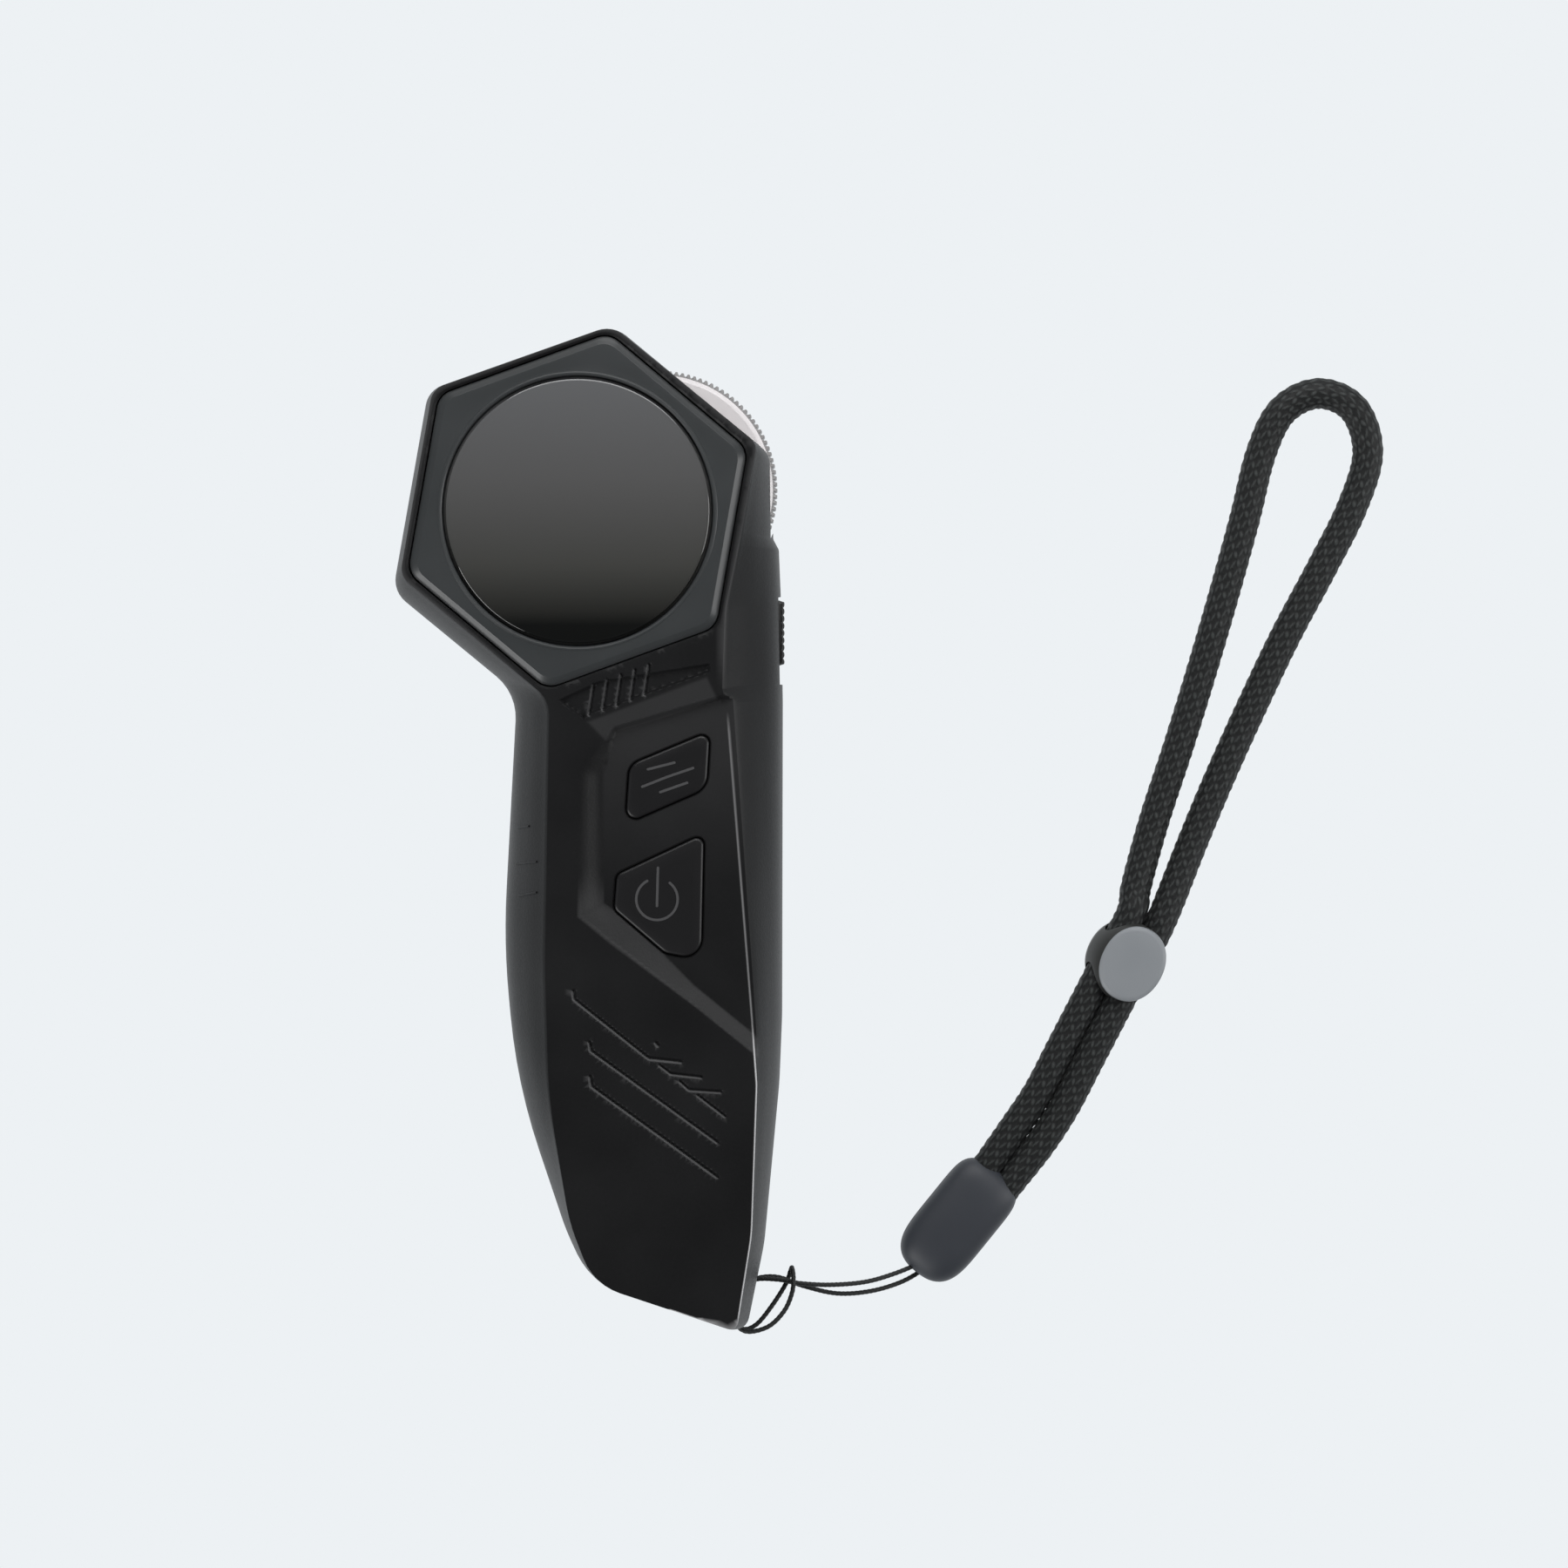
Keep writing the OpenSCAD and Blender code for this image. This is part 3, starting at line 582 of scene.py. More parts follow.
# Name, darker and lighter colour, least and most roughness, grain, bump in mm, bump strength, gloss
PLASTICS = {
    "shell": (
        "shell_plastic", (0.0065, 0.0066, 0.007), (0.0105, 0.0107, 0.0112),
        (0.36, 0.5), 2.2, 0.06, 0.5, 0.15,
    ),
    "bezel": (
        "bezel_plastic", (0.029, 0.0318, 0.033), (0.038, 0.041, 0.0425),
        (0.3, 0.38), 4.0, 0.012, 0.2, 0.4,
    ),
    "key": (
        "key_plastic", (0.0045, 0.0045, 0.005), (0.007, 0.0068, 0.0075),
        (0.36, 0.46), 4.0, 0.015, 0.25, 0.35,
    ),
    "knob": ("knob_plastic", (0.012, 0.012, 0.012), (0.02, 0.02, 0.02), (0.35, 0.45), 3.0, 0.02, 0.2),
    "icon": ("icon_paint", (0.045, 0.045, 0.047), (0.055, 0.055, 0.057), (0.45, 0.55), 5.0, 0.01, 0.1),
    "cap": ("cap_rubber", (0.021, 0.0245, 0.032), (0.028, 0.032, 0.04), (0.5, 0.62), 2.5, 0.02, 0.2),
    "lock": ("lock_plastic", (0.19, 0.205, 0.22), (0.235, 0.25, 0.265), (0.42, 0.52), 3.0, 0.012, 0.2),
    "lock_side": (
        "lock_side_plastic", (0.017, 0.018, 0.0175), (0.024, 0.025, 0.024),
        (0.45, 0.55), 3.0, 0.012, 0.2,
    ),
    "wheel": ("wheel_metal", (0.66, 0.63, 0.635), (0.72, 0.69, 0.695), (0.3, 0.4), 2.0, 0.01, 0.06),
    "knurl": ("wheel_knurl", (0.2, 0.195, 0.195), (0.26, 0.25, 0.25), (0.3, 0.42), 2.0, 0.01, 0.06),
    "foam": ("foam", (0.01, 0.01, 0.01), (0.02, 0.02, 0.02), (0.85, 0.95), 2.0, 0.2, 0.6),
    "screen": ("display_glass", (0.02, 0.02, 0.024), (0.03, 0.03, 0.034), (0.1, 0.16), 2.0, 0.005, 0.05),
    "flex": ("flex", (0.42, 0.22, 0.05), (0.5, 0.28, 0.08), (0.35, 0.45), 2.0, 0.01, 0.1),
    "board": ("circuit_board", (0.012, 0.1, 0.04), (0.02, 0.14, 0.06), (0.3, 0.45), 1.5, 0.02, 0.3),
    "chip": ("chip_black", (0.012, 0.012, 0.012), (0.02, 0.02, 0.02), (0.5, 0.65), 4.0, 0.02, 0.3),
    "cell": ("cell_wrap", (0.03, 0.08, 0.26), (0.04, 0.1, 0.32), (0.25, 0.35), 1.0, 0.01, 0.1),
    "wire": ("wire", (0.4, 0.02, 0.02), (0.5, 0.03, 0.03), (0.35, 0.45), 2.0, 0.01, 0.1),
    "plug": ("plug_plastic", (0.7, 0.66, 0.56), (0.78, 0.75, 0.66), (0.4, 0.5), 2.0, 0.01, 0.1),
}


def make_materials():
    m = {key: plastic(*row) for key, row in PLASTICS.items()}
    painted_highlight(m["shell"])
    m["window"] = window_material()
    m["tin"] = metal("shield_tin", (0.62, 0.62, 0.62), (0.25, 0.4), (1, 8, 1), 1.0)
    m["steel"] = metal("steel", (0.5, 0.5, 0.52), (0.25, 0.38), (1, 1, 6), 1.5)
    m["brass"] = metal("bush_brass", (0.72, 0.52, 0.25), (0.25, 0.4), (1, 1, 6), 1.5)
    m["braid"] = braid_material("braided_cord", (0.002, 0.0026, 0.0028), (0.042, 0.047, 0.046))
    m["thin"] = braid_material("thin_cord", (0.008, 0.009, 0.009), (0.02, 0.022, 0.022))
    return m


def paint_nodes(m):
    """Better materials for the CAD nodes that stay."""
    nodes_of = {
        "foam": "window_gasket battery_pads", "flex": "display_ribbon antenna_strip",
        "board": "main_board wheel_board", "brass": "wheel_bushes thread_inserts", "screen": "display_module",
        "chip": "control_chips mode_switch power_switch hall_sensor slide_lever",
        "tin": "radio_module slide_switch charge_port vibration_motor",
        "steel": "wheel_axle axle_clip wheel_magnet wheel_spring case_screws board_screws",
        "cell": "battery_cell", "wire": "battery_lead", "plug": "battery_plug",
    }
    for key, nodes in nodes_of.items():
        for node in nodes.split():
            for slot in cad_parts[node].material_slots:
                slot.material = m[key]


# ---- camera, light and floor
def make_camera():
    """Long lens straight above the face. view_w is the width seen at half height."""
    lens, sensor, view_w, centre = 200.0, 36.0, 237.06, (28.97, 6.91)
    cam = add_object("camera", bpy.data.cameras.new("camera"))
    cam.data.lens = lens
    cam.data.sensor_width = sensor
    cam.data.clip_start = 0.01
    cam.data.clip_end = 20
    cam.location = (centre[0] * MM, centre[1] * MM, (MID_Z + view_w * lens / sensor) * MM)
    bpy.context.scene.camera = cam


def area_light(name, at, size, power, target=(0.0, 0.0, 0.017)):
    data = bpy.data.lights.new(name, "AREA")
    data.shape = "RECTANGLE"
    data.size, data.size_y = size
    data.energy = power
    obj = add_object(name, data)
    obj.location = at
    obj.rotation_euler = (Vector(target) - Vector(at)).to_track_quat("-Z", "Y").to_euler()


def make_stage():
    """Bright horizon and dark overhead, three soft lights, and a plain glowing table that shows no shadow."""
    world = bpy.data.worlds.new("world")
    bpy.context.scene.world = world
    world.use_nodes = True
    nt = world.node_tree
    tex = nt.nodes.new("ShaderNodeTexCoord")
    sep = nt.nodes.new("ShaderNodeSeparateXYZ")
    nt.links.new(tex.outputs["Generated"], sep.inputs[0])
    sky = ramp(nt, sep.outputs["Z"], [
        (0.0, (0.245, 0.253, 0.26)), (0.35, (0.19, 0.195, 0.203)),
        (0.75, (0.11, 0.112, 0.117)), (1.0, (0.07, 0.072, 0.075)),
    ])
    nt.links.new(sky, nt.nodes["Background"].inputs["Color"])
    area_light("low_left_light", (-0.6, -0.5, 0.5), (0.5, 0.6), 6)
    area_light("right_light", (0.8, 0.0, 0.42), (0.3, 0.8), 4)
    area_light("top_light", (0.05, 0.5, 0.4), (0.6, 0.3), 3.2, (0.0, 0.05, 0.017))
    mat, nt, bsdf = new_material("table_glow")
    bsdf.inputs["Base Color"].default_value = (0, 0, 0, 1)
    bsdf.inputs["Specular IOR Level"].default_value = 0
    bsdf.inputs["Roughness"].default_value = 1
    bsdf.inputs["Emission Color"].default_value = (0.8469, 0.8796, 0.9047, 1)
    bsdf.inputs["Emission Strength"].default_value = 1
    s, z = 3000, -0.02
    add_mesh("floor", [(-s, -s, z), (s, -s, z), (s, s, z), (-s, s, z)], [(0, 1, 2, 3)], mat)


# ---- cords
def swept(path, radius, around, name, material):
    """A tube along path. radius(s, angles) is its radius at length s. crown marks the high parts."""
    n = len(path)
    tangent = unit_rows(np.gradient(path, axis=0))
    flat = unit_rows(np.cross(tangent, [0, 0, 1.0]))
    up = np.cross(flat, tangent)
    s = lengths(path)
    ang = turn(around)
    rings, spread = [], []
    for i in range(n):
        r = radius(s[i], ang)
        spread.append(r)
        rings.append(path[i] + r[:, None] * (np.cos(ang)[:, None] * flat[i] + np.sin(ang)[:, None] * up[i]))
    obj = loft(rings, name, material, sharp_deg=60)
    spread = np.concatenate(spread)
    crown = (spread - spread.min()) / max(1e-6, np.ptp(spread))
    point_values(obj, "crown", crown)
    return obj


def braid_radius(r, depth, strands, pitch):
    """Surface of a round braid: two sets of strands that pass over and under each other."""
    def radius(s, ang):
        phase = 2 * math.pi * s / pitch + 6 * ang
        a, b = strands * ang + phase, strands * ang - phase
        cell = np.cos((a + b) / 4) * np.cos((a - b) / 4)
        crown = np.where(cell > 0, np.abs(np.cos(a / 2)), np.abs(np.cos(b / 2)))
        return r - depth + depth * crown ** 0.8 * np.abs(cell) ** 0.4
    return radius


def make_cords(m):
    """Both cords, each with its path and length."""
    path, length = resample(catmull(WRIST, 24), 1350)
    path[:, 2] = np.maximum(path[:, 2], LOWEST_CORD_Z)
    braid = braid_radius(CORD_D / 2 + BRAID_SWELL, BRAID_DEPTH, BRAID_STRANDS, BRAID_PITCH)
    cord = swept(path, braid, 72, "braided_wrist_cord", m["braid"])
    thin_path, thin_length = resample(catmull(LOOP, 16), 620)

    def twist(s, ang):
        return LOOP_D / 2 + 0.05 * (np.abs(np.cos(1.5 * ang + 2 * math.pi * s / TWIST_PITCH)) - 0.6)

    thin = swept(thin_path, twist, 12, "thin_loop_cord", m["thin"])
    return cord, path, length, thin, thin_path, thin_length


def make_end_cap(m):
    """Soft moulded cap: a flattened pill with a fine parting ridge, blunter where both strands enter."""
    along = np.sin(np.linspace(-math.pi / 2, math.pi / 2, 41))
    ang = np.linspace(0, 2 * math.pi, 97)[:-1]
    rings = []
    for s in along:
        w = max(0.02, (1 - abs(s) ** (6.5 if s > 0 else 4.2)) ** (1 / 2.4)) * CAP_W / 2
        h = max(0.02, (1 - abs(s) ** 5.0) ** (1 / 2.4)) * CAP_T / 2
        cw = blunt(np.cos(ang), 0.8) * w
        ch = blunt(np.sin(ang), 0.72) * h
        ridge = np.exp(-(ch / 0.22) ** 2) * 0.12 * min(1, w)
        cw = cw + np.sign(cw) * ridge
        x = s * CAP_L / 2
        rings.append(np.stack([*placed(CAP_AT, CAP_A, x, cw), CAP_T / 2 + ch], axis=1))
    return loft(rings, "cord_end_cap", m["cap"])


def make_cord_lock(m):
    """Oval cord lock: a dark band below, a lighter oval face that leans towards the thumb side."""
    ang = np.linspace(0, 2 * math.pi, 121)[:-1]
    c, s = math.cos(STRAND_A), math.sin(STRAND_A)

    def ring(half_l, half_w, off_w, z):
        u = half_l * blunt(np.cos(ang), 0.94)
        w = off_w + half_w * blunt(np.sin(ang), 0.94)
        return level(np.stack(placed(LOCK_AT, STRAND_A, u, -w), axis=1), z)

    steps = [
        (5.4, 5.3, 0.3, 0.05), (6.0, 5.75, 0.3, 0.5), (6.15, 5.95, 0.2, 1.4), (6.15, 5.9, 0.25, 4.2),
        (6.05, 5.5, 0.6, 5.6), (5.95, 5.1, 1.0, 6.9), (5.85, 4.8, 1.3, 7.3), (5.75, 4.8, 1.3, 7.62),
        (5.5, 4.6, 1.3, 7.82), (5.0, 4.2, 1.3, 7.92), (3.0, 2.6, 1.3, 7.97), (0.5, 0.5, 1.3, 7.98),
    ]
    obj = loft([ring(*v) for v in steps], "cord_lock_body", m["lock_side"])
    obj.data.materials.append(m["lock"])
    top = (LOCK_T - 0.72) * MM
    for poly in obj.data.polygons:
        if poly.center.z > top:
            poly.material_index = 1
    bores = []
    for side in (-1, 1):
        n = 40
        r = CORD_D / 2 + 0.3
        verts = []
        for d in (-10, 10):
            x, y, z = on_strand(d, side, STRAND_Z)
            for t in turn(n):
                verts.append((x + r * math.cos(t) * s, y - r * math.cos(t) * c, z + r * math.sin(t)))
        bores.append(bare_mesh("bore", verts, prism_faces(n)))
    carve(obj, bores)
    shade(obj, 32)
    return obj


# ---- shells
def shell_outlines():
    """Matching rounded outlines of SIDE and FACE, finer along the finger edge, and both inset by the wall."""
    counts = outline(SIDE, ARC_STEPS, FINE_SPACING)[1]
    counts[FINGER_EDGE] *= 3
    shapes = (SIDE, FACE, inset(SIDE, WALL), inset(FACE, WALL))
    return [outline(shape, ARC_STEPS, counts=counts)[0] for shape in shapes]


def shell_ring(side, face, part, shift, rise):
    """Ring of the shell at a part of rise above half height, or below it when rise is negative."""
    return level(side + (face - side) * shift, MID_Z + part * rise)


def rounded(corners):
    return outline(corners, ARC_STEPS)[0]


def relief(p):
    """Height of the face at points p: panel, arrow, engraved lines and the bezel's pocket."""
    d_in, d_out = signed(p, PANEL), signed(p, PANEL_TOP)
    t = np.where(d_in <= 0, 0, np.where(d_out >= 0, 1, d_in / np.maximum(1e-6, d_in - d_out)))
    outer_end = 0.88 - (1 - t) ** 2 / 0.24 + 0.06
    crisp = np.where(t < 0.12, t * t / 0.24, np.where(t > 0.88, outer_end, t - 0.06)) / 0.94
    upper = smoothstep((p[:, 1] + 16) / 8)
    soft = crisp + (t * t * (3 - 2 * t) - crisp) * upper
    z = PANEL_Z + (BODY_T - PANEL_Z) * np.clip(soft, 0, 1)
    z = z - ARROW_DEPTH * smoothstep(-signed(p, ARROW) / 0.45)
    for lines, depth in ((GROOVES, GROOVE_DEPTH), (TICKS, TICK_DEPTH)):
        for pts, w in lines:
            z = z - depth * smoothstep(1.25 - line_distance(p, pts) / w * 1.25)
    for corners in KEYS:
        d = signed(p, rounded(inset(corners, -KEY_GAP)))
        z = z - 0.18 * np.clip(1 - d / EDGE_ROUND, 0, 1)
    d_hex = signed(p, outline(hexagon(BEZEL_R + 0.15), 8)[0])
    rim = BODY_T - 0.3 * np.clip(1 - d_hex / 0.35, 0, 1)
    return np.where(d_hex > 0.02, np.minimum(z, rim), np.where(d_hex > -0.03, BODY_T - 0.3, POCKET_Z))


def grid_near(lo, hi, step, keep):
    """Staggered grid points between two corners that keep accepts."""
    x, y = np.meshgrid(np.arange(lo[0], hi[0], step), np.arange(lo[1], hi[1], step))
    y = y + (np.arange(x.shape[1]) % 2) * step / 2
    p = np.stack([x.ravel(), y.ravel()], axis=1)
    return p[keep(p)]


def face_mesh(boundary, loops, lines, points):
    """Triangles inside boundary and outside the loops, with every line kept as edges."""
    verts, edges = [], []
    for loop in (boundary, *loops):
        base = len(verts)
        verts += [tuple(p) for p in loop]
        edges += [(base + i, base + (i + 1) % len(loop)) for i in range(len(loop))]
    for line in lines:
        base = len(verts)
        verts += [tuple(p) for p in line]
        edges += [(base + i, base + i + 1) for i in range(len(line) - 1)]
    verts += [tuple(p) for p in points]
    out = geometry.delaunay_2d_cdt([Vector(v) for v in verts], edges, [], 0, 1e-5)
    co = np.array([tuple(v) for v in out[0]])
    tri = np.array(list(out[2]))
    mid = co[tri].mean(axis=1)
    keep = signed(mid, boundary) < -1e-4
    for loop in loops:
        keep &= signed(mid, loop) > 1e-4
    first = {}
    for new, olds in enumerate(out[3]):
        for o in olds:
            first[o] = new
    return co, tri[keep], first


def clipped(line, boundary, margin):
    """Stretches of a line, cut into steps of half a millimetre, that stay inside the boundary by a margin."""
    pts = []
    for a, b in zip(line, line[1:]):
        a, b = np.array(a, float), np.array(b, float)
        k = max(1, int(np.linalg.norm(b - a) / 0.5))
        pts += [a + (b - a) * i / k for i in range(k)]
    pts.append(np.array(line[-1], float))
    runs = [[]]
    for p, d in zip(pts, signed(np.array(pts), boundary)):
        if d < -margin:
            runs[-1].append(p)
        else:
            runs.append([])
    return [r for r in runs if len(r) > 1]


def flank_lines(side, face, material):
    """Three fine raised lines on the finger edge, laid along the curve of the flank."""
    lines = []
    parts = np.linspace(0.2, 0.97, 60)
    shifts = np.interp(parts, [r[0] for r in RISE], [r[1] for r in RISE])
    for k, (a, b) in enumerate(FLANK_TICKS):
        y = (a[1] + b[1]) / 2
        xs = []
        for shift in shifts:
            p = side + (face - side) * shift
            left = p[(p[:, 0] < 0) & (np.abs(p[:, 1] - y) < 6)]
            order = np.argsort(left[:, 1])
            xs.append(np.interp(y, left[order, 1], left[order, 0]))
        x = np.linspace(a[0], b[0], 24)
        z = MID_Z + np.interp(x, xs, parts) * (BODY_T - MID_Z)
        path = np.column_stack([x, np.linspace(a[1], b[1], 24), z + 0.02])
        lines.append(swept(path, lambda s, ang: np.full(len(ang), 0.17), 10, f"flank_line_{k}", material))
    return lines


def skin(rings, end, tri, first):
    """Points and faces of the outside of a half: its rings, closed by an end of its own triangles."""
    n = len(rings[0])
    at = (len(rings) - 1) * n
    faces = bands(0, n, len(rings) - 1) + seam(range(at - n, at), [at + first[i] for i in range(n)])
    faces += [tuple(at + i for i in t) for t in tri]
    return [*np.concatenate(rings[:-1]), *end], faces


def make_front_shell(m):
    """Front half with its relief, key and display openings, and the raised lines of its finger edge."""
    side, face, side_in, face_in = shell_outlines()
    rings = []
    for part, shift in RISE:
        ring = shell_ring(side, face, part, shift, BODY_T - MID_Z)
        if part > 0.6:
            ring[:, 2] = np.minimum(ring[:, 2], relief(ring[:, :2]))
        rings.append(ring)
    inner = [shell_ring(side_in, face_in, part, shift, DECK_Z - MID_Z) for part, shift in INNER_RISE]
    n = len(side)
    boundary = rings[-1][:, :2]
    holes = [rounded(inset(key, -KEY_GAP)) for key in KEYS]
    holes.append(circle(DISPLAY, MODULE_HOLE_R, turn(120)))
    lines = [closed(rounded(inset(key, -KEY_GAP - EDGE_ROUND))) for key in KEYS]
    for r in (BEZEL_R + 0.15 + 0.35, BEZEL_R + 0.17, BEZEL_R + 0.1):
        lines += clipped(closed(outline(hexagon(r), 8)[0]), boundary, 0.12)
    step = np.roll(boundary, -1, axis=0) - np.roll(boundary, 1, axis=0)
    normal = unit_rows(np.stack([-step[:, 1], step[:, 0]], axis=1))
    keep = (boundary[:, 0] > 12) & (boundary[:, 1] < 18) & (boundary[:, 1] > -73)
    edge_in = (boundary + normal * 0.2)[keep]
    lines.append(edge_in[np.argsort(edge_in[:, 1])])
    for shape in (PANEL, PANEL_TOP, ARROW):
        lines += clipped(closed(shape), boundary, 0.5)

    def band(p):
        near = np.full(len(p), False)
        for pts, w in GROOVES + TICKS:
            near |= line_distance(p, pts) < w + 0.12
        return near & (signed(p, boundary) < -0.15)

    def arrow_band(p):
        return ((np.abs(signed(p, ARROW) + 0.22) < 0.35) | (signed(p, BROW) < 0)) & ~band(p)

    def lower_slope(p):
        slope = (signed(p, PANEL) > 0.1) & (signed(p, PANEL_TOP) < -0.1) & (p[:, 1] < -6)
        return slope & (signed(p, boundary) < -0.3) & ~band(p)

    def plain(p):
        return (signed(p, boundary) < -0.5) & ~band(p) & ~arrow_band(p) & ~lower_slope(p)

    lo, hi = boundary.min(axis=0), boundary.max(axis=0)
    points = np.concatenate([
        grid_near((-7, -53.5), (24, 26), 0.14, band), grid_near((-6, 12), (20, 26), 0.2, arrow_band),
        grid_near((-4, -36), (25, -6), 0.22, lower_slope), grid_near(lo, hi, 0.9, plain),
    ])
    for hole in holes[:2]:
        points = points[np.abs(signed(points, hole) - 0.12) > 0.25]
    co, tri, first = face_mesh(boundary, holes, lines, points)
    verts, faces = skin(rings, np.column_stack([co, relief(co)]), tri, first)
    face_at = (len(rings) - 1) * n
    inner_at = len(verts)
    verts += [*np.concatenate(inner[:-1])]
    faces += bands(inner_at, n, len(inner) - 1) + strip(0, inner_at, n)
    co_in, tri_in, first_in = face_mesh(inner[-1][:, :2], holes, [], [])
    deck_at = len(verts)
    verts += [*level(co_in, DECK_Z)]
    faces += seam(range(deck_at - n, deck_at), [deck_at + first_in[i] for i in range(n)])
    faces += [tuple(deck_at + i for i in t) for t in tri_in]
    start = n
    for hole in holes:
        row = range(start, start + len(hole))
        faces += seam([face_at + first[i] for i in row], [deck_at + first_in[i] for i in row])
        start += len(hole)
    obj = add_mesh("front_shell_skin", verts, faces, m["shell"])
    flanges = [rounded(inset(key, -0.6)) for key in KEYS]
    pockets = [outline_cutter(flange, DECK_Z - 0.6, PANEL_Z - 1.8) for flange in flanges]
    port = box_cutter((-4.6, -3, 25), (4.6, 7.2, 28.5), -18.3, (11.3, -71.8))
    carve(obj, side_cuts() + pockets + [port])
    shade(obj, 30)
    paint_highlights(obj, boundary)
    return [obj, *flank_lines(side, face, m["shell"])]


def paint_highlights(obj, boundary):
    """Painted highlights: lightens the face's edge, the key panel, the bands round it and the lower-left lip
    of each engraved line.
    """
    co = np.empty(len(obj.data.vertices) * 3)
    obj.data.vertices.foreach_get("co", co)
    co = co.reshape(-1, 3) / MM
    edge = np.zeros(len(co))
    rim = closed(boundary)
    # Painted highlight along the face's edge, strongest low on the thumb side, and faint along the head's top
    # edge
    thumb_side = (co[:, 2] > PANEL_Z - 0.1) & (co[:, 0] > 12)
    head = (co[:, 2] > BODY_T - 0.1) & (co[:, 1] > 20)
    highlight_amount = np.interp(co[:, 1], [-74, -72, -33, -29, 15, 18], [0.3, 1, 0.9, 0.3, 0.22, 0])
    for part, value in ((thumb_side, highlight_amount), (head, 0.05 * smoothstep((co[:, 1] - 20) / 8))):
        d = line_distance(co[part][:, :2], rim)
        edge[part] = np.maximum(edge[part], np.where(d < 0.02, value[part], 0))
    top = (co[:, 2] > PANEL_Z - 0.1) & (co[:, 0] > -6) & (co[:, 0] < 28) & (co[:, 1] < 26)
    p = co[top][:, :2]
    y = p[:, 1]
    # Painted highlight on the key panel, growing towards its top, and on the lower slope round it
    lit = np.where(signed(p, PANEL) < 0.02, 0.02 * smoothstep((y + 10) / 25), 0)
    slope = np.minimum(signed(p, PANEL), -signed(p, PANEL_TOP))
    lit = np.maximum(lit, 0.03 * smoothstep(slope / 0.3) * smoothstep((-6 - y) / 6))
    # Painted highlight on the band between the arrow and the key panel
    brow = 0.026 * smoothstep(-signed(p, BROW) / 0.6)
    lit = np.maximum(lit, np.where(signed(p, ARROW) > 0, brow, 0))
    # Painted highlight on the lower-left lip of each engraved line, the lip that faces the light
    for pts, w in GROOVES + TICKS:
        d = line_distance(p, pts)
        lower_side = np.clip((d - line_distance(p + [0.08, 0.1], pts)) / 0.08, 0, 1)
        lit = np.maximum(lit, 0.16 * lower_side * np.clip(1 - np.abs(d - 0.6 * w) / 0.25, 0, 1))
    edge[top] = np.maximum(edge[top], lit)
    point_values(obj, "painted_highlight", edge)


def side_cuts():
    """Cutters for the wheel slot, the knob's recess and its stem slot."""
    return [
        disc_cutter(WHEEL, WHEEL_R + 0.5, MID_Z - WHEEL_T / 2 - 0.6, MID_Z + WHEEL_T / 2 + 0.6, 144),
        box_cutter((27.5, 21.9, MID_Z - KNOB_W / 2 - 1.2), (32, 35.2, MID_Z + KNOB_W / 2 + 1.2)),
        box_cutter((22, SLIDE_Y - 2 - SLIDE_TRAVEL, MID_Z - 1.7), (30, SLIDE_Y + 2, MID_Z + 1.7)),
    ]


def make_back_shell(m):
    """Back half with its flat back, screw bosses and the ring channel of the lanyard bar."""
    side, face, side_in, face_in = shell_outlines()
    rings = [shell_ring(side, face, part, shift, -MID_Z) for part, shift in RISE]
    inner = [shell_ring(side_in, face_in, part, shift, WALL - MID_Z) for part, shift in INNER_RISE]
    n = len(side)
    boundary = rings[-1][:, :2]
    lo, hi = boundary.min(axis=0), boundary.max(axis=0)
    points = grid_near(lo, hi, 2.0, lambda p: signed(p, boundary) < -0.8)
    co, tri, first = face_mesh(boundary, [], [], points)
    verts, faces = skin(rings, level(co, 0.0), tri, first)
    inner_at = len(verts)
    verts += [*np.concatenate(inner)]
    faces += bands(inner_at, n, len(inner))
    faces.append(tuple(range(len(verts) - n, len(verts))))
    faces += strip(0, inner_at, n)
    obj = add_mesh("back_shell_skin", verts, faces, m["shell"])
    n, half_w, half_h = 72, 0.7, 1.4
    corners = ((-half_w, -half_h), (-half_w, half_h), (half_w, half_h), (half_w, -half_h))
    channel = [level(circle(LANYARD, LANYARD_R + r, turn(n)), LANYARD_Z + z) for r, z in corners]
    cuts = [disc_cutter(s, 2.15, -1, 5, 48) for s in SCREWS]
    cuts.append(bare_mesh("channel", np.concatenate(channel), bands(0, n, 4) + strip(3 * n, 0, n)))
    carve(obj, side_cuts() + cuts)
    profile = [(2.15, WALL - 0.4), (2.15, 9.4), (1.15, 9.4), (1.15, 16.9), (2.6, 16.9), (2.6, WALL - 0.4)]
    parts = [obj, *[revolve(profile, s, f"boss_{i}", m["shell"], 40) for i, s in enumerate(SCREWS)]]
    with bpy.context.temp_override(active_object=obj, selected_editable_objects=parts):
        bpy.ops.object.join()
    shade(obj, 30)
    return obj


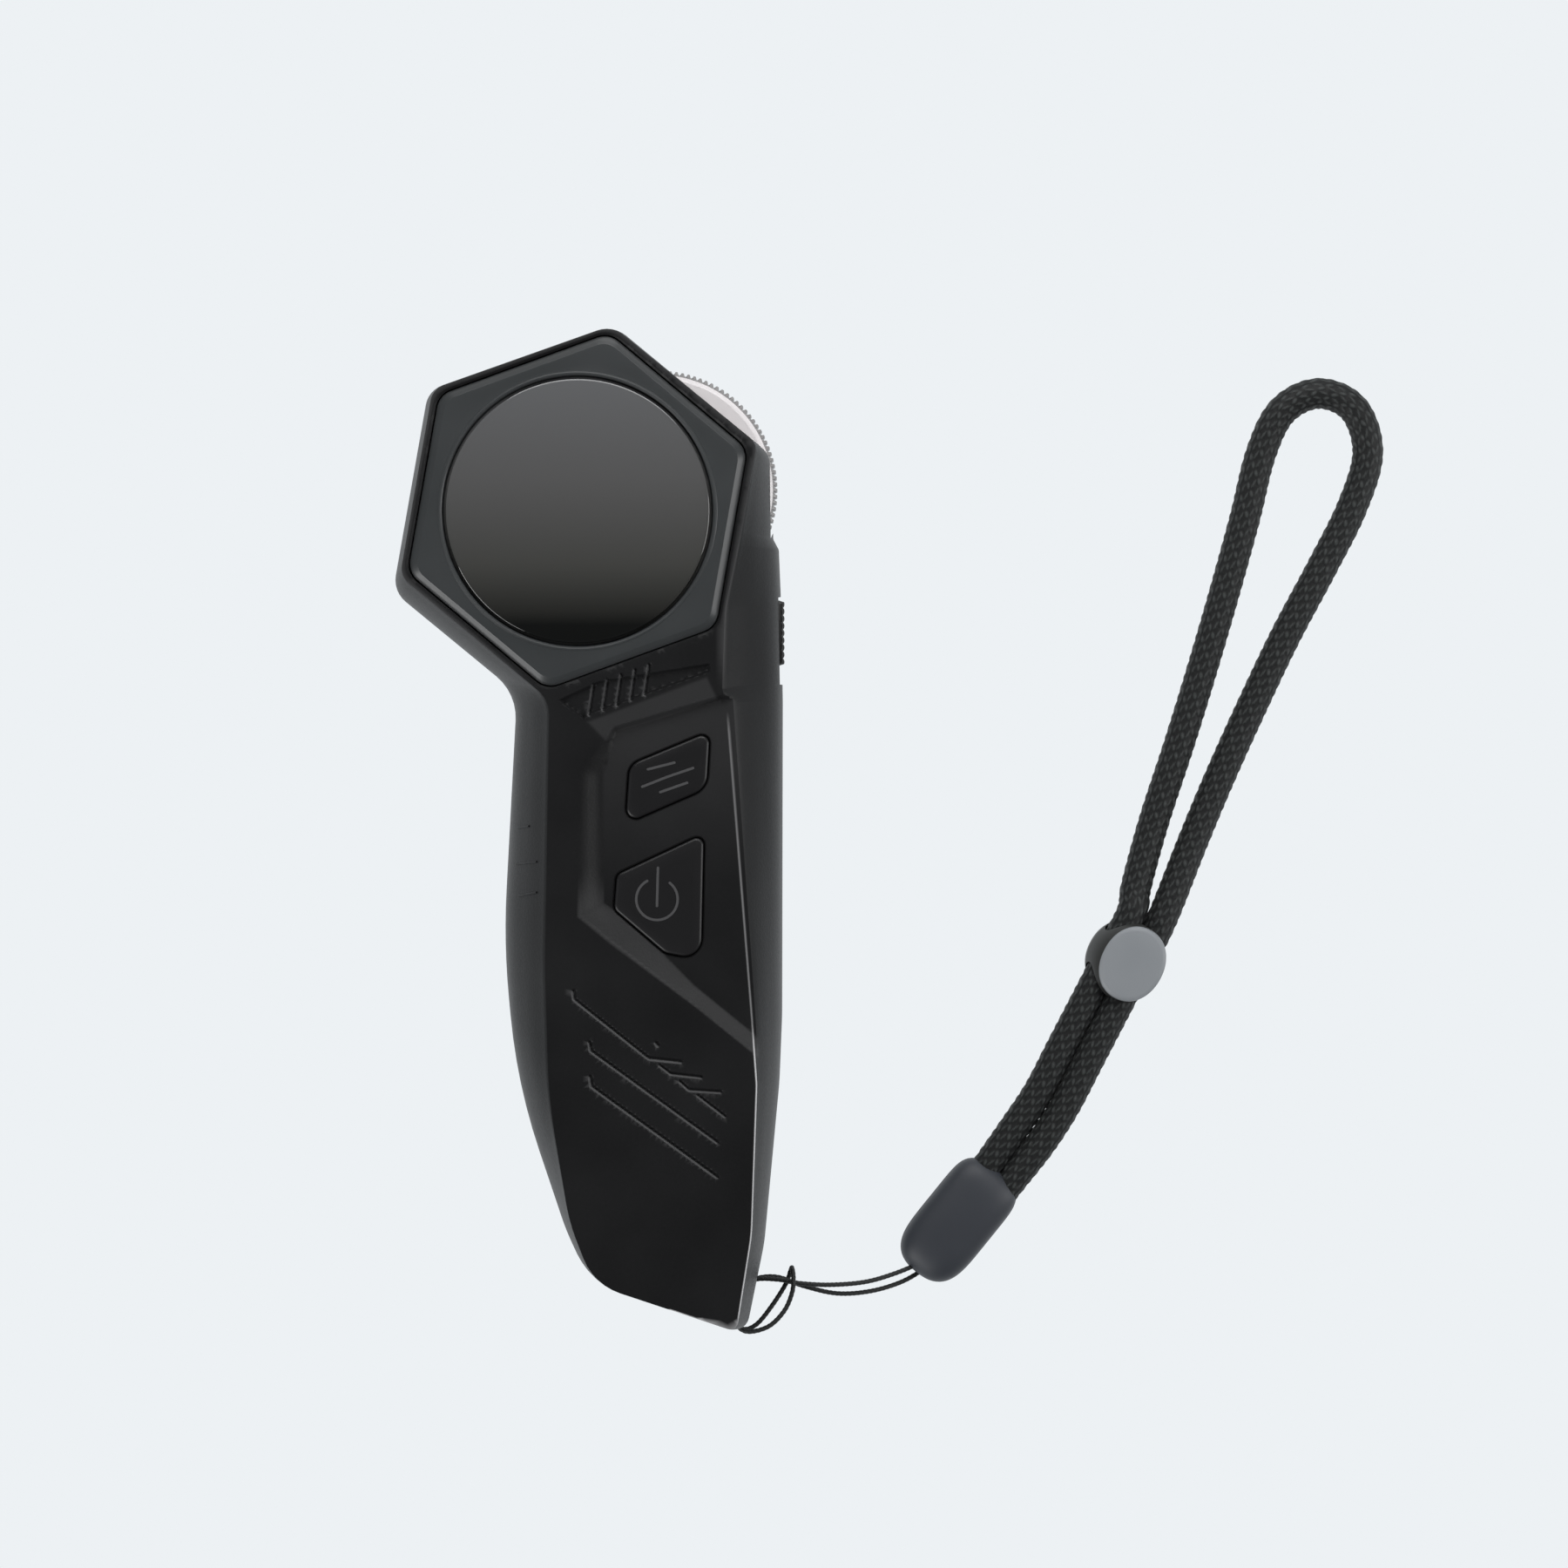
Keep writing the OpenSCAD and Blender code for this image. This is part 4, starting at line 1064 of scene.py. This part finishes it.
# ---- display, keys, knob and wheel
def make_bezel(m):
    """Hexagonal plate with sloped edges, a flat face and a raised lip round the window."""
    n = 480
    ang = turn(n)
    ray = circle((0, 0), 1, ang)

    def hex_ring(r, corner):
        """Distance from the middle to the rounded hexagon at each angle."""
        rel = outline(hexagon(r, corner), 10)[0] - DISPLAY
        a = np.unwrap(np.arctan2(rel[:, 1], rel[:, 0])) % (2 * math.pi)
        order = np.argsort(a)
        a, rel = a[order], rel[order]
        a = np.r_[a[-1] - 2 * math.pi, a, a[0] + 2 * math.pi]
        rel = np.vstack([rel[-1], rel, rel[0]])
        out = np.zeros(n)
        for i, t in enumerate(ang):
            k = max(1, min(np.searchsorted(a, t), len(a) - 1))
            p, q = rel[k - 1], rel[k]
            d = q - p
            out[i] = (p[0] * d[1] - p[1] * d[0]) / (ray[i, 0] * d[1] - ray[i, 1] * d[0])
        return out

    def ring(radius, z):
        return level(circle(DISPLAY, radius, ang), z)

    outer = hex_ring(BEZEL_R, 3.4)
    rings = [ring(outer, POCKET_Z + 0.05), ring(outer, BODY_T - 0.75)]
    for in_by, corner, z in ((0.12, 3.3, -0.6), (0.35, 3.2, -0.5), (1.1, 3.0, 0.02), (1.3, 2.9, 0.13)):
        rings.append(ring(hex_ring(BEZEL_R - in_by, corner), BODY_T + z))
    flat = hex_ring(BEZEL_R - 1.6, 2.8)
    for t in (0, 0.33, 0.66):
        rings.append(ring(flat + (WINDOW_R + 1.0 - flat) * t, BODY_T + 0.16))
    lip = ((1.0, 0.16), (0.9, 0.18), (0.8, 0.28), (0.62, 0.33), (0.45, 0.28), (0.3, 0.12), (0.25, 0.0))
    for r, z in (*lip, (0.25, -1.25)):
        rings.append(ring(WINDOW_R + r, BODY_T + z))
    rings += [ring(17.9, BODY_T - 1.5), ring(17.9, POCKET_Z + 0.05)]
    return loft(rings, "bezel_plate_face", m["bezel"], closed_loop=True, sharp_deg=20)


def make_window(m):
    """Glass disc with a narrow step below its edge, and a faintly domed top."""
    edge = WINDOW_R - 0.28
    profile = (
        (WINDOW_R, -1.25), (WINDOW_R, -0.8), (edge, -0.7), (edge, -0.25), (edge - 0.06, -0.12),
        (edge - 0.22, -0.05), (edge - 0.5, 0), (edge - 4, 0.02), (1.0, 0.03),
    )
    rings = [level(circle(DISPLAY, r, turn(180)), BODY_T + z) for r, z in profile]
    return loft(rings, "window_disc", m["window"])


def make_key(name, corners, m, icon):
    """Key cap with a retaining flange, rounded rim and slightly crowned top, and its printed icon."""
    base, used = outline(corners, 10, 0.7)

    def grown(d):
        return outline(inset(corners, d), 10, counts=used)[0]

    top = PANEL_Z + 0.5
    flange, crown = grown(-0.4), grown(0.42)
    rings = [
        level(flange, PANEL_Z - 2.9), level(flange, PANEL_Z - 2.1), level(base, PANEL_Z - 2.1),
        level(base, top - 0.42), level(grown(0.06), top - 0.22), level(grown(0.2), top - 0.08),
        level(crown, top - 0.02),
    ]
    centre = base.mean(axis=0)
    for s in (0.7, 0.4, 0.08):
        rings.append(level(centre + (crown - centre) * s, top))
    key = loft(rings, name, m["key"])
    ink = (0.19, top - 0.1, top + 0.03, m["icon"])
    return key, [ribbon(f"{name}_mark_{k}", line, *ink) for k, line in enumerate(icon)]


def ribbon(name, line, half, z0, z1, material):
    """A flat printed line with round ends."""
    p = np.array(line, float)
    t = unit_rows(np.gradient(p, axis=0))
    side = np.stack([-t[:, 1], t[:, 0]], axis=1) * half
    ends = []
    for q, d in ((p[-1], t[-1]), (p[0], -t[0])):
        a0 = math.atan2(d[1], d[0])
        turns = a0 + np.linspace(-math.pi / 2, math.pi / 2, 9)[1:-1]
        ends.append([q + half * np.array([math.cos(u), math.sin(u)]) for u in turns])
    loop = np.array([*(p - side), *ends[0], *(p + side)[::-1], *ends[1]])
    verts = [(*q, z) for z in (z0, z1) for q in loop]
    return add_mesh(name, verts, prism_faces(len(loop)), material)


def make_knob(m):
    """Slide knob: nine rounded grip ribs across it, soft ends, and the stem that reaches the switch."""
    y0, y1 = SLIDE_Y - KNOB_L / 2, SLIDE_Y + KNOB_L / 2
    ys = np.linspace(y0 + 0.25, y1 - 0.25, 121)
    phase = (ys - y0) / KNOB_L * KNOB_RIBS
    crest = 28.78 + 0.27 * np.abs(np.sin(math.pi * phase)) ** 0.7
    loop = np.array([(27.6, y0), (28.2, y0), *zip(crest, ys), (28.2, y1), (27.6, y1)])
    centre = np.array([27.6, SLIDE_Y])
    rings = []
    ends = ((0, 0.94), (0.12, 0.975), (0.35, 1.0))
    for z, s in (*ends, *[(KNOB_W - z, s) for z, s in ends[::-1]]):
        scale = [s if s == 1 else s - 0.12, s]
        rings.append(level(centre + (loop - centre) * scale, MID_Z - KNOB_W / 2 + z))
    knob = loft(rings, "slide_knob_cap", m["knob"], sharp_deg=40)
    stem = box_cutter((23.2, SLIDE_Y - 1.8, MID_Z - 1.5), (27.65, SLIDE_Y + 1.8, MID_Z + 1.5))
    stem.name = "slide_knob_stem"
    stem.data.materials.append(m["knob"])
    return knob, stem


def make_wheel(m):
    """Turned wheel with chamfered faces and a straight knurl round the rim."""
    z0, z1 = MID_Z - WHEEL_T / 2, MID_Z + WHEEL_T / 2

    def knurl(r, ang):
        if r < 17.45:
            return np.full(len(ang), float(r))
        wave = np.abs(((ang * WHEEL_TEETH / (2 * math.pi)) % 1) * 2 - 1)
        return r - KNURL_DEPTH * (1 - smoothstep((wave - 0.2) / 0.5))

    rim = [(16.6, 0), (16.75, 0.04), (17.3, 0.5), (17.4, 0.62), (17.9, 0.95), (WHEEL_R, 1.15)]
    profile = [
        (3.2, z0 + 3.4), (9.6, z0 + 3.4), (9.6, z0), *[(r, z0 + z) for r, z in rim], (WHEEL_R, MID_Z),
        *[(r, z1 - z) for r, z in rim[::-1]],
        (12.0, z1), (11.9, z1 - 0.12), (11.5, z1 - 0.12), (11.4, z1), (5.0, z1), (3.2, z1),
    ]
    obj = revolve(profile, WHEEL, "thumb_wheel_rim", m["wheel"], WHEEL_TEETH * 6, knurl, 26)
    obj.data.materials.append(m["knurl"])
    for poly in obj.data.polygons:
        c = poly.center
        if math.hypot(c.x / MM - WHEEL[0], c.y / MM - WHEEL[1]) > 17.3:
            poly.material_index = 1
    return obj


# ---- build
make_camera()
mats = make_materials()
cord, cord_path, cord_len, thin, thin_path, thin_len = make_cords(mats)
make_stage()
paint_nodes(mats)

cap = make_end_cap(mats)
lock = make_cord_lock(mats)
front, *front_lines = make_front_shell(mats)
back = make_back_shell(mats)
bezel = make_bezel(mats)
window = make_window(mats)
mode_key, mode_marks = make_key("mode_key_cap", MODE_KEY, mats, MODE_ICON)
power_key, power_marks = make_key("power_key_cap", POWER_KEY, mats, POWER_ICON)
knob, knob_stem = make_knob(mats)
wheel = make_wheel(mats)

for piece, body, node, slot in (
    (cord, "handset", "wrist_cord", "braided_cord"), (thin, "handset", "loop_cord", "thin_cord"),
    (cap, "handset", "end_cap", "cap_rubber"), (lock, "cord_lock", "cord_lock", "lock_plastic"),
    (front, "handset", "front_shell", "shell_plastic"), (back, "handset", "back_shell", "shell_plastic"),
    (bezel, "handset", "bezel_plate", "bezel_plastic"), (window, "handset", "display_window", "window_glass"),
    (mode_key, "mode_key", "mode_key", "key_plastic"), (power_key, "power_key", "power_key", "key_plastic"),
    (knob, "slide_knob", "slide_knob", "key_plastic"), (wheel, "thumb_wheel", "thumb_wheel", "wheel_metal"),
):
    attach(piece, body)
    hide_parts(node)
for piece in front_lines:
    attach(piece, "handset")
small = [(p, "mode_key") for p in mode_marks] + [(p, "power_key") for p in power_marks]
for piece, body in [*small, (knob_stem, "slide_knob")]:
    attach(piece, body)

bpy.context.scene.view_settings.view_transform = "Standard"
